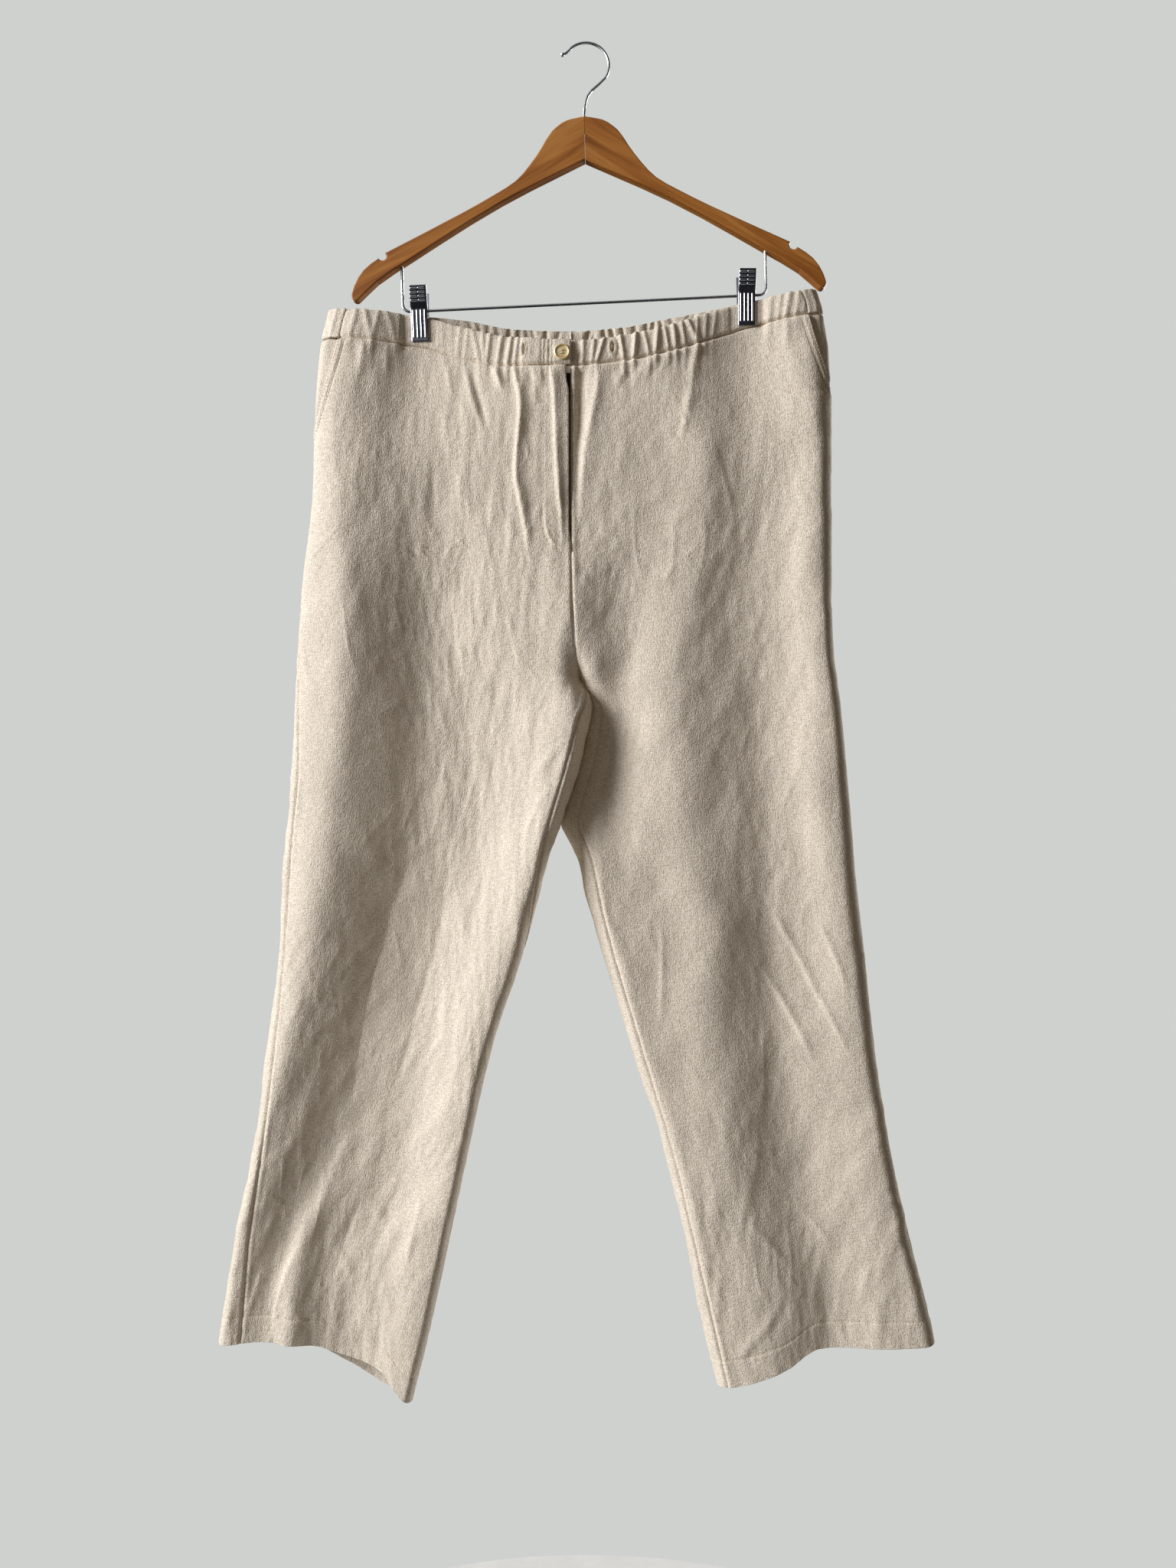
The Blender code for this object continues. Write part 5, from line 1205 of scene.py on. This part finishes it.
def sew_in(made, node):
    """Gives a piece of linen its material and body, and hides the frame's part that it stands for."""
    settings = bpy.context.scene.trousers
    made.data.materials.append(once("plain_weave_linen", lambda: plain_weave_linen(settings)))
    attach(made, ROOT)
    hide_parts(node)


def band_share(levels):
    """0 at the waistband's seam and 1 at its top."""
    return np.clip((levels - WAIST_LEVEL) / BAND_DEPTH, 0.0, 1.0)


def band_wall(grid):
    """The waistband's thickness, which lessens at its folded top."""
    return BAND_CLOTH - 1.1 * ease(band_share(grid.levels), 0.9, 1.0)


def band_rise(grid, layer):
    """The waistband's gathers, its rounded top and the groove along its seam."""
    x, z = grid.points[..., 0], grid.points[..., 2]
    share = band_share(grid.levels)[:, None]
    loose = 1 - clip_pinch(x, z)
    gathers = gather_height(layer, grid.side, x, share)
    if layer == "front":
        from_eyelet = eyelet_distance(x, z, grid.side)
        gathers = gathers * (1 - 0.7 * bell(from_eyelet, 1.6))
        gathers = gathers + bell(from_eyelet - 1.3, 0.32)
    firm = 0.95 + 0.3 * np.sin(math.pi * share)
    total = gathers * firm * loose - 0.5 * loose
    total += 0.35 * rumple(x, z, 4.0, 9.0, 301) * loose
    total += 0.6 * np.sin(math.pi * share) * loose
    total -= 2.0 * bell(share * BAND_DEPTH, 1.3)
    total -= 1.0 * bell((1 - share) * BAND_DEPTH, 1.3)
    return total


def eyelet_distance(x, z, side):
    """How far a place is from the middle of an eyelet, in halves of the slit's width and length."""
    middle, height, width = EYELETS[side]
    return np.hypot((x - middle) / (width / 2 + 0.6), (z - height) / (EYELET_LENGTH / 2 + 0.6))


def band_levels():
    shares = (0.0, 0.015, 0.035, 0.07, 0.13, 0.22, 0.32, 0.42, 0.52, 0.62, 0.72, 0.81, 0.88, 0.94, 0.975, 1.0)
    return np.array([WAIST_LEVEL + share * BAND_DEPTH for share in shares])


def without_fly(points, side):
    """Takes the fly's step out of the form, as the waistband's lap takes its place."""
    step = beside_fly(points[..., 0]) * (1.0 if side == "right" else -1.0)
    points[..., 1] += step * FLY_LIFT
    return points


def wavy_top(grid, layer, loose=1.0):
    """Lets the gathers scallop the waistband's top edge, where it is loose."""
    share = band_share(grid.levels)[:, None]
    x = grid.points[..., 0]
    waves = gather_height(layer, grid.side, x, 1.0) * (1 - clip_pinch(x, grid.points[..., 2]))
    grid.points[..., 2] += (0.55 * waves * loose - 0.6) * share**3


def make_front_band(side):
    levels = band_levels()
    top_x, top = POCKETS[side][0]
    starts = np.full(len(levels), around_at(side, top_x, top))
    ends = np.ones(len(levels))
    around, from_start, from_end = even_columns(side, starts, ends, levels, "front", BAND_SPACING)
    grid = Grid(side, "front", levels, around, from_start, from_end)
    grid.points = without_fly(grid.points, side)
    rise = band_rise(grid, "front")
    if side == "right":
        grid.points[..., 1] -= LAP_LIFT * ease(grid.points[..., 0], -66.0, -52.0)
    else:
        grid.points[..., 1] += LAP_LIFT * ease(grid.points[..., 0], 0.0, -11.0)
        rise = rise * ease(grid.points[..., 0], CENTRE - 2.0, CENTRE + 6.0)
    edges = bell(from_start, 1.0) + (bell(from_end, 0.7) if side == "right" else 0.0)
    grid.lift(BAND_CLOTH / 2 + rise - 0.7 * edges)
    wavy_top(grid, "front")
    if side == "left":
        add_underlap(grid)
    GRIDS["band", side] = grid
    made = cloth_mesh(f"linen_waistband_front_{side}", grid, band_wall(grid))
    cut_eyelet(made, side)
    sew_in(made, f"waistband_front_{side}")


def add_underlap(grid):
    """The left waistband's end, which runs on under the right one."""
    heights = actual_heights("right", 0.99, grid.levels)
    reach = around_at("right", np.full(len(heights), CENTRE - UNDERLAP), heights)
    shares = np.array([0.06, 0.12, 0.25, 0.4, 0.55, 0.7, 0.85, 0.97, 1.0])
    around = 1.0 + (reach - 1.0)[:, None] * shares[None, :]
    points, normals = form_points("right", around, grid.levels, "front")
    points = without_fly(points, "right")
    points[..., 1] += LAP_LIFT
    points += normals * (BAND_CLOTH / 2 - 0.5)
    run = grid.from_start[:, -1:] + UNDERLAP * shares[None, :]
    grid.points = np.concatenate([grid.points, points], axis=1)
    grid.normals = np.concatenate([grid.normals, normals], axis=1)
    grid.from_start = np.concatenate([grid.from_start, run], axis=1)
    grid.around = np.concatenate([grid.around, 1.0 + shares + 0 * run], axis=1)


def make_back_band(side):
    levels = band_levels()
    top_x, top = POCKETS[side][0]
    starts = np.ones(len(levels))
    ends = np.full(len(levels), 2.0 + around_at(side, top_x, top))
    around, from_start, from_end = even_columns(side, starts, ends, levels, "back", BAND_SPACING)
    grid = Grid(side, "back", levels, around, from_start, from_end)
    rise = band_rise(grid, "back")
    # The end that comes round to the front is smooth but for one soft fold.
    wrapped = ease(around, 1.93, 1.99)
    rise = rise * (1 - 0.85 * wrapped) + wrapped * 0.9 * bell(from_end - WRAP_FOLD, 2.2)
    # Close to the centre back the two bands lie flat against their seam.
    rise = rise * ease(from_start, 2.0, 16.0) - 0.6 * bell(from_start, 0.9)
    rise -= 0.7 * bell(from_end, 0.9)
    grid.lift(BAND_CLOTH / 2 + rise)
    wavy_top(grid, "back", 1 - 0.85 * wrapped)
    made = cloth_mesh(f"linen_waistband_back_{side}", grid, band_wall(grid))
    sew_in(made, f"waistband_back_{side}")


WRAP_FOLD = 8.5  # from the end of the back waistband, on the front


def make_hip_piece(side, settings):
    """The cloth behind a pocket's slanted edge."""
    end = POCKETS[side][1][1]
    levels = panel_levels("front")
    levels = levels[actual_heights(side, 0.1, levels) > end - 4.0]
    heights = actual_heights(side, 0.1, levels)
    slant = pocket_around(side, heights)[:, None]
    x = ring(side, slant[:, 0], levels, np.ones(len(levels), bool))[:, 0]
    inward = 1.0 if side == "right" else -1.0
    under = around_at(side, x + inward * POCKET_OVERLAP, heights)[:, None]
    shown = np.maximum(slant - 0.004, 0.012)
    shares = np.linspace(0.0, 1.0, 22)[None, :]
    around = np.hstack([0.004 + (shown - 0.004) * shares, shown + (under - shown) * shares[:, 1:]])
    run = np.abs(around - around[:, :1]) * 200.0
    grid = Grid(side, "front", levels, around, run, run[:, -1:] - run)
    behind = np.concatenate([ease(shares, 0.55, 1.0), np.ones((1, 21))], axis=1)
    closed = ease(heights, end + 16.0, end + 3.0)[:, None]
    sink = POCKET_SINK * behind
    sink = sink + (POCKET_SINK + 0.9 - sink) * closed
    below = WAIST_LEVEL - levels[:, None]
    z = grid.points[..., 2]
    rise = 1.1 * rumple(grid.points[..., 0], z, 7.0, 16.0, 51) * ease(below, 0.0, 4.0)
    rise = rise * (1 - behind) * ease(around, 0.004, 0.04)
    rise -= WAIST_GROOVE * bell(below, 1.5)
    grid.lift(CLOTH / 2 - sink + rise)
    made = cloth_mesh(f"linen_hip_piece_{side}", grid, np.full(len(levels), settings.wall))
    sew_in(made, f"hip_piece_{side}")


def cut_eyelet(band, side):
    """Cuts the upright slit into a front waistband, through all but the layer at its back."""
    x, height, width = EYELETS[side]
    floor = float(GRIDS["band", side].at_places([(x, height)])[0][0][1]) + EYELET_DEPTH
    outline = []
    for i in range(24):
        angle = 2 * math.pi * i / 24
        # A lens: pointed at the top and the bottom.
        half = width / 2 * max(math.cos(angle) ** 2, 0.0) ** 0.5 * abs(math.cos(angle)) ** 0.4
        rise = EYELET_LENGTH / 2 * math.sin(angle)
        outline.append((x + math.copysign(half, math.cos(angle)), height + rise))
    near = metres([(px, -40.0, pz) for px, pz in outline])
    far = metres([(px, floor, pz) for px, pz in outline])
    count = len(outline)
    quads = [(i, (i + 1) % count, (i + 1) % count + count, i + count) for i in range(count)]
    middle = metres([(x, -40.0, height), (x, floor, height)])
    caps = [(2 * count, (i + 1) % count, i) for i in range(count)]
    caps += [(2 * count + 1, i + count, (i + 1) % count + count) for i in range(count)]
    cutter = new_mesh("eyelet_cutter", np.concatenate([near, far, middle]), quads, caps)
    shape = bmesh.new()
    shape.from_mesh(cutter.data)
    bmesh.ops.recalc_face_normals(shape, faces=shape.faces)
    shape.to_mesh(cutter.data)
    shape.free()
    modifier = band.modifiers.new("slit", "BOOLEAN")
    modifier.operation = "DIFFERENCE"
    modifier.solver = "EXACT"
    modifier.object = cutter
    graph = bpy.context.evaluated_depsgraph_get()
    cut = bpy.data.meshes.new_from_object(band.evaluated_get(graph))
    band.modifiers.clear()
    band.data = cut
    cut.shade_smooth()
    bpy.data.objects.remove(cutter, do_unlink=True)


ZIP_DEPTH = 4.4  # behind the fronts' own surface
ZIP_ENDS = (-307.0, -470.0)
ZIP_REACH = {"right": -12.0, "left": 5.0}  # from the centre line to the tape's edges


def make_zip(settings):
    """The zip's tape behind the fly slot, with its closed teeth down the middle."""
    levels = np.linspace(*ZIP_ENDS, 34)
    half = {}
    for side, reach in ZIP_REACH.items():
        edge = around_at(side, np.full(len(levels), CENTRE + reach), actual_heights(side, 0.99, levels))
        shares = np.linspace(0.0, 0.97, 8)[None, :]
        around = edge[:, None] + (0.999 - edge[:, None]) * shares
        points, _ = form_points(side, around, levels, "front")
        half[side] = without_fly(points, side)
    points = np.concatenate([half["right"], half["left"][:, ::-1]], axis=1)
    points[..., 1] += ZIP_DEPTH
    normals = np.zeros(points.shape) + (0.0, -1.0, 0.0)
    made = wall_mesh("woven_zip_tape", points, normals, 1.0)
    made.data.materials.append(woven_tape(settings))
    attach(made, ROOT)
    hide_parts("fly_zip")
    middle = points[:, 7:9].mean(axis=1)
    line = resample(middle + (0.0, -0.7, 0.0), normals[:, 7], 1.5)
    teeth = stitch_mesh("zip_teeth", [(line[0], np.cross(line[1], line[2]), line[2])],
                        bpy.data.materials["woven_zip_tape"], length=4.2, thread=1.0)


def make_stitching(settings):
    """Topstitching of pocket edges, fly, hems and eyelet rims, and the fly's bar tack, as single stitches of
    thread.
    """
    thread = spun_thread(settings)
    lines = []
    for side in SIDES:
        front = GRIDS["front", side]
        end = POCKETS[side][1][1]
        heights = front.points[:, 0, 2]
        edge = (heights > end - 2.0) & (front.levels < WAIST_LEVEL - 1.0)
        for distance in POCKET_STITCHES:
            points, normals = front.column_at(distance)
            lines.append(stitch_line(points[edge], normals[edge]))
    stitch_mesh("stitches_pockets", lines, thread)
    hems = []
    for layer in ("front", "back"):
        for side in SIDES:
            points, normals = GRIDS[layer, side].row_at(HEM_LEVEL + settings.hem)
            hems.append(stitch_line(points[2:-2], normals[2:-2]))
    stitch_mesh("stitches_hems", hems, thread)
    right = GRIDS["front", "right"]
    heights = np.concatenate([np.arange(-308.0, -470.0, -6.0), np.arange(-470.0, -485.5, -1.0)])
    points, normals = right.at_places([(float(FLY_STITCH_LINE(z)), z) for z in heights])
    fly = [stitch_line(points, normals)]
    bar_at, bar_normal = right.at_places([(-15.6, z) for z in (-476.5, -478.2, -479.9, -481.6, -483.3)])
    sideways = np.tile((1.0, 0.0, 0.0), (len(bar_at), 1))
    stitch_mesh("stitches_fly", fly, thread)
    bar = (bar_at + (0.4, 0.0, 0.0), sideways, unit(bar_normal))
    stitch_mesh("bar_tack", [bar], thread, length=3.0, thread=0.55)
    rims = []
    for side in SIDES:
        x, height, width = EYELETS[side]
        places, outward = [], []
        for i in range(EYELET_STITCHES):
            angle = 2 * math.pi * (i + 0.5) / EYELET_STITCHES
            reach = width / 2 * abs(math.cos(angle)) ** 1.4
            rise = (EYELET_LENGTH / 2 + 0.5) * math.sin(angle)
            places.append((x + math.copysign(reach + 0.75, math.cos(angle)), height + rise))
            outward.append((math.cos(angle) * 1.0, 0.0, 0.55 * math.sin(angle)))
        band = GRIDS["band", side]
        points, normals = band.at_places(places)
        rims.append((points, unit(np.array(outward)), unit(normals)))
    stitch_mesh("stitches_eyelets", rims, thread, length=1.9, thread=0.55)


def make_button_thread(settings):
    """Two bars of thread through the button's holes."""
    low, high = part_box("button")
    centre = (np.array(low) + np.array(high)) / 2 / MM - (0.0, 0.0, HOOK_WIRE)
    front = low[1] / MM
    at, along = [], []
    for height in (-1.35, -1.0, 1.0, 1.35):
        at.append((centre[0], front + 0.95, centre[2] + height))
        along.append((1.0, 0.0, 0.0))
    normal = np.tile((0.0, -1.0, 0.0), (4, 1))
    stitch_mesh("button_thread", [(np.array(at), np.array(along), normal)],
                once("spun_sewing_thread", lambda: spun_thread(settings)), length=3.6, thread=0.6)


# A clip's front plate: distance down, distance of its middle from the middle plane.
PLATE = ((0, 12), (15, 7.0), (20.6, 4.5), (26, 4.55), (60, 4.55))
PLATE_WIDTH = 16.4
PLATE_WALL = 1.2
RIBS = (-5.4, -1.8, 1.8, 5.4)
RIB_ENDS = (21.4, 46.4)
RIB_HALF = 1.0
RIB_RISE = 0.85
GRIPS = (3.0, 6.4, 9.8, 13.2)
GRIP_COLUMNS = (-3.9, 3.3)
GRIP_HALVES = (2.6, 0.85)  # of a grip's length across and its width down
GRIP_RISE = 0.7
PLATE_EDGE = (0.9, 1.1)  # how deep the plate's edge is turned back, and over what width


def plate_relief(across, down, length):
    """Pressed ribs with round tops and ends, and short grip bars above them."""
    rise = 0.0 * across
    for centre in RIBS:
        past = np.maximum(RIB_ENDS[0] - down, down - RIB_ENDS[1]).clip(0.0)
        away = np.hypot(across - centre, past) / RIB_HALF
        rise = np.maximum(rise, RIB_RISE * np.sqrt(np.clip(1 - away**2, 0.0, 1.0)))
    for middle in GRIP_COLUMNS:
        for centre in GRIPS:
            past = np.maximum(np.abs(across - middle) - GRIP_HALVES[0], 0.0)
            away = np.hypot(down - centre, past) / GRIP_HALVES[1]
            rise = np.maximum(rise, GRIP_RISE * np.sqrt(np.clip(1 - away**2, 0.0, 1.0)))
    # The plate's edges are turned back all round.
    edge = np.minimum(PLATE_WIDTH / 2 - np.abs(across), np.minimum(0.9 * down, length - down) + 0.1)
    return rise - PLATE_EDGE[0] * (1 - rounded(edge, PLATE_EDGE[1]))


def make_clip_plate(side, settings):
    """A clip's front plate, pressed from sheet."""
    x_top, top, x_bottom, bottom = CLIPS[side][0]
    length = math.hypot(x_bottom - x_top, top - bottom)
    half = PLATE_WIDTH / 2
    columns = np.concatenate([[-half, -half + 0.1, -half + 0.3], np.arange(-half + 0.5, half - 0.4, 0.22),
                              [half - 0.3, half - 0.1, half]])
    rows = np.concatenate([[0.0, 0.1, 0.3], np.arange(0.6, length - 0.3, 0.3), [length - 0.15, length]])
    down, across = np.meshgrid(rows, columns, indexing="ij")
    out = curve_through(*zip(*PLATE))(down) + PLATE_WALL / 2
    outside = out + plate_relief(across, down, length)
    inside = out - PLATE_WALL
    turn = math.atan2(x_bottom - x_top, top - bottom)
    vertices = []
    for depth in (outside, inside):
        x = x_top + across * math.cos(turn) + down * math.sin(turn)
        z = top + across * math.sin(turn) - down * math.cos(turn)
        vertices.append(np.stack([x, -depth, z], axis=-1).reshape(-1, 3))
    made = new_mesh(f"pressed_clip_plate_{side}", metres(np.concatenate(vertices)), wall_quads(*down.shape))
    made.data.materials.append(once("chromium_plated_steel", lambda: chromium(settings)))
    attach(made, ROOT)
    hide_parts(f"clip_{side}_front")


def chromium(settings):
    return bright_plating("chromium_plated_steel", settings.clip, 0.2, 0.06)


# ---------------------------------------------------------------- floor, light and camera

FLOOR_RADIUS = 0.62
LENS = 30.52  # millimetres, on a picture whose long side is 36 mm
CAMERA_X = 0.0022
CAMERA_HEIGHT = -0.6958
# Size, place and colour of the two lights, and where both point.
KEY_LIGHT = ((1.9, 2.4), (-4.39, -1.88, 0.8), "#F9FBFF")
BACK_LIGHT = ((2.4, 2.4), (3.0, 3.8, 0.6), "#FFFFFF")
MIDDLE = (0.0, 0.0, -0.7)
FILL_COLOUR = "#F4E4CE"
# What bright metal mirrors: a white side to the left and above, a dark room in front, a grey one behind.
ROOM = ((0.0, "#77797D"), (0.28, "#2B2C30"), (0.6, "#141518"), (0.72, "#DDE0E5"), (1.0, "#FFFFFF"))
ROOM_SIDE = (-0.85, 0.0, 0.5)  # the direction of its white side


def make_floor(settings):
    sides = 96
    angles = 2 * math.pi * np.arange(sides) / sides
    height = -settings.floor_drop
    rim = np.stack([FLOOR_RADIUS * np.cos(angles), FLOOR_RADIUS * np.sin(angles), 0 * angles + height], 1)
    vertices = np.concatenate([rim, [(0.0, 0.0, height)]])
    triangles = [(i, (i + 1) % sides, sides) for i in range(sides)]
    floor = new_mesh("floor", vertices, [], triangles)
    floor.data.materials.append(painted_floor(settings))


def add_light(name, power, size, place, colour):
    light = bpy.data.lights.new(name, "AREA")
    light.shape = "RECTANGLE"
    light.size, light.size_y = size
    light.energy = power
    light.color = linear(colour)[:3]
    made = new_object(name, light)
    made.location = place
    made.rotation_euler = (Vector(MIDDLE) - made.location).to_track_quat("-Z", "Y").to_euler()


def make_lights(settings):
    add_light("key", settings.key_power, *KEY_LIGHT)
    add_light("back", settings.back_power, *BACK_LIGHT)
    world = bpy.data.worlds.new("studio")
    world.use_nodes = True
    tree = world.node_tree
    tree.nodes.clear()
    # The room looks pale, and lights the cloth far less than the large light beside it does.
    path = add_node(tree, "LightPath")
    pale = add_node(tree, "Background", [("Color", linear(settings.surround))])
    dim = add_node(tree, "Background", [("Color", linear(FILL_COLOUR)), ("Strength", settings.fill)])
    direction = add_node(tree, "TexCoord").outputs["Generated"]
    across = add_node(tree, "VectorMath", [(0, direction), (1, ROOM_SIDE)], operation="DOT_PRODUCT")
    room = ramp(tree, mapped(tree, across.outputs["Value"], (-1.0, 1.0), (0.0, 1.0)), ROOM)
    mirrored = add_node(tree, "Background", [("Color", room)])
    seen = add_node(tree, "MixShader", [
        ("Fac", path.outputs["Is Glossy Ray"]), (1, dim.outputs["Background"]),
        (2, mirrored.outputs["Background"])])
    mix = add_node(tree, "MixShader", [
        ("Fac", path.outputs["Is Camera Ray"]), (1, seen.outputs["Shader"]), (2, pale.outputs["Background"])])
    add_node(tree, "OutputWorld", [("Surface", mix.outputs["Shader"])])
    bpy.context.scene.world = world
    # Colours then come out as their hex values say.
    bpy.context.scene.view_settings.view_transform = "Standard"


def make_camera(settings):
    data = bpy.data.cameras.new("camera")
    data.lens = LENS
    data.sensor_width = 36.0
    camera = new_object("camera", data)
    camera.location = (CAMERA_X, -settings.distance, CAMERA_HEIGHT)
    camera.rotation_euler = (math.pi / 2, 0.0, 0.0)
    bpy.context.scene.camera = camera


# ---------------------------------------------------------------- operators


class TROUSERS_OT_fronts(bpy.types.Operator):
    """Makes the right and left fronts, each a leg with half the front of the hips"""

    bl_idname = "trousers.fronts"
    bl_label = "Fronts"

    def execute(self, context):
        for side in SIDES:
            make_panel(side, "front", context.scene.trousers)
        return {"FINISHED"}


class TROUSERS_OT_backs(bpy.types.Operator):
    """Makes the right and left backs"""

    bl_idname = "trousers.backs"
    bl_label = "Backs"

    def execute(self, context):
        for side in SIDES:
            make_panel(side, "back", context.scene.trousers)
        return {"FINISHED"}


class TROUSERS_OT_hip_pieces(bpy.types.Operator):
    """Makes the cloth that shows behind the slanted pocket edges"""

    bl_idname = "trousers.hip_pieces"
    bl_label = "Hip pieces"

    def execute(self, context):
        for side in SIDES:
            make_hip_piece(side, context.scene.trousers)
        return {"FINISHED"}


class TROUSERS_OT_waistbands(bpy.types.Operator):
    """Makes the four gathered lengths of waistband and cuts their eyelet slits"""

    bl_idname = "trousers.waistbands"
    bl_label = "Waistbands"

    def execute(self, context):
        for side in SIDES:
            make_front_band(side)
            make_back_band(side)
        return {"FINISHED"}


class TROUSERS_OT_zip(bpy.types.Operator):
    """Makes the zip behind the fly slot"""

    bl_idname = "trousers.zip"
    bl_label = "Zip"

    def execute(self, context):
        make_zip(context.scene.trousers)
        return {"FINISHED"}


class TROUSERS_OT_stitching(bpy.types.Operator):
    """Sews the topstitching and finishes the button"""

    bl_idname = "trousers.stitching"
    bl_label = "Stitching and button"

    def execute(self, context):
        settings = context.scene.trousers
        make_stitching(settings)
        make_button_thread(settings)
        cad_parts["button"].material_slots[0].material = polished_horn(settings)
        return {"FINISHED"}


class TROUSERS_OT_hanger(bpy.types.Operator):
    """Finishes the hanger's wood, hook, bar and clips"""

    bl_idname = "trousers.hanger"
    bl_label = "Hanger"

    def execute(self, context):
        settings = context.scene.hanger
        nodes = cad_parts
        lean = math.radians(ARM_LEAN)
        nodes["hanger_wood_right"].material_slots[0].material = varnished_wood(settings, lean)
        nodes["hanger_wood_left"].material_slots[0].material = varnished_wood(settings, -lean)
        wire = bright_plating("nickel_plated_wire", settings.wire, 0.2, 0.1)
        for side in CLIPS:
            make_clip_plate(side, settings)
        clip = bpy.data.materials["chromium_plated_steel"]
        for name in ("hook", "trouser_bar"):
            nodes[name].material_slots[0].material = wire
        for name, node in nodes.items():
            if name.startswith("clip_"):
                node.material_slots[0].material = clip
        return {"FINISHED"}


class TROUSERS_OT_studio(bpy.types.Operator):
    """Makes the floor, the lights and the camera"""

    bl_idname = "trousers.studio"
    bl_label = "Studio"

    def execute(self, context):
        settings = context.scene.studio
        make_floor(settings)
        make_lights(settings)
        make_camera(settings)
        return {"FINISHED"}


OPERATORS = (TROUSERS_OT_fronts, TROUSERS_OT_backs, TROUSERS_OT_hip_pieces, TROUSERS_OT_waistbands,
             TROUSERS_OT_zip, TROUSERS_OT_stitching, TROUSERS_OT_hanger, TROUSERS_OT_studio)


class TROUSERS_PT_panel(bpy.types.Panel):
    """Lists the settings and the steps in order"""

    bl_label = "Linen trousers"
    bl_idname = "TROUSERS_PT_panel"
    bl_space_type = "VIEW_3D"
    bl_region_type = "UI"
    bl_category = "Trousers"

    def draw(self, context):
        for group in (context.scene.trousers, context.scene.hanger, context.scene.studio):
            box = self.layout.box()
            for name in group.__annotations__:
                box.prop(group, name)
        for operator in OPERATORS:
            self.layout.operator(operator.bl_idname)


CLASSES = (TrousersSettings, HangerSettings, StudioSettings, *OPERATORS, TROUSERS_PT_panel)


def register():
    for each in CLASSES:
        bpy.utils.register_class(each)
    bpy.types.Scene.trousers = bpy.props.PointerProperty(type=TrousersSettings)
    bpy.types.Scene.hanger = bpy.props.PointerProperty(type=HangerSettings)
    bpy.types.Scene.studio = bpy.props.PointerProperty(type=StudioSettings)


def unregister():
    del bpy.types.Scene.trousers
    del bpy.types.Scene.hanger
    del bpy.types.Scene.studio
    for each in reversed(CLASSES):
        bpy.utils.unregister_class(each)


def main():
    register()
    for operator in OPERATORS:
        group, name = operator.bl_idname.split(".")
        getattr(getattr(bpy.ops, group), name)()


if __name__ == "__main__":
    main()
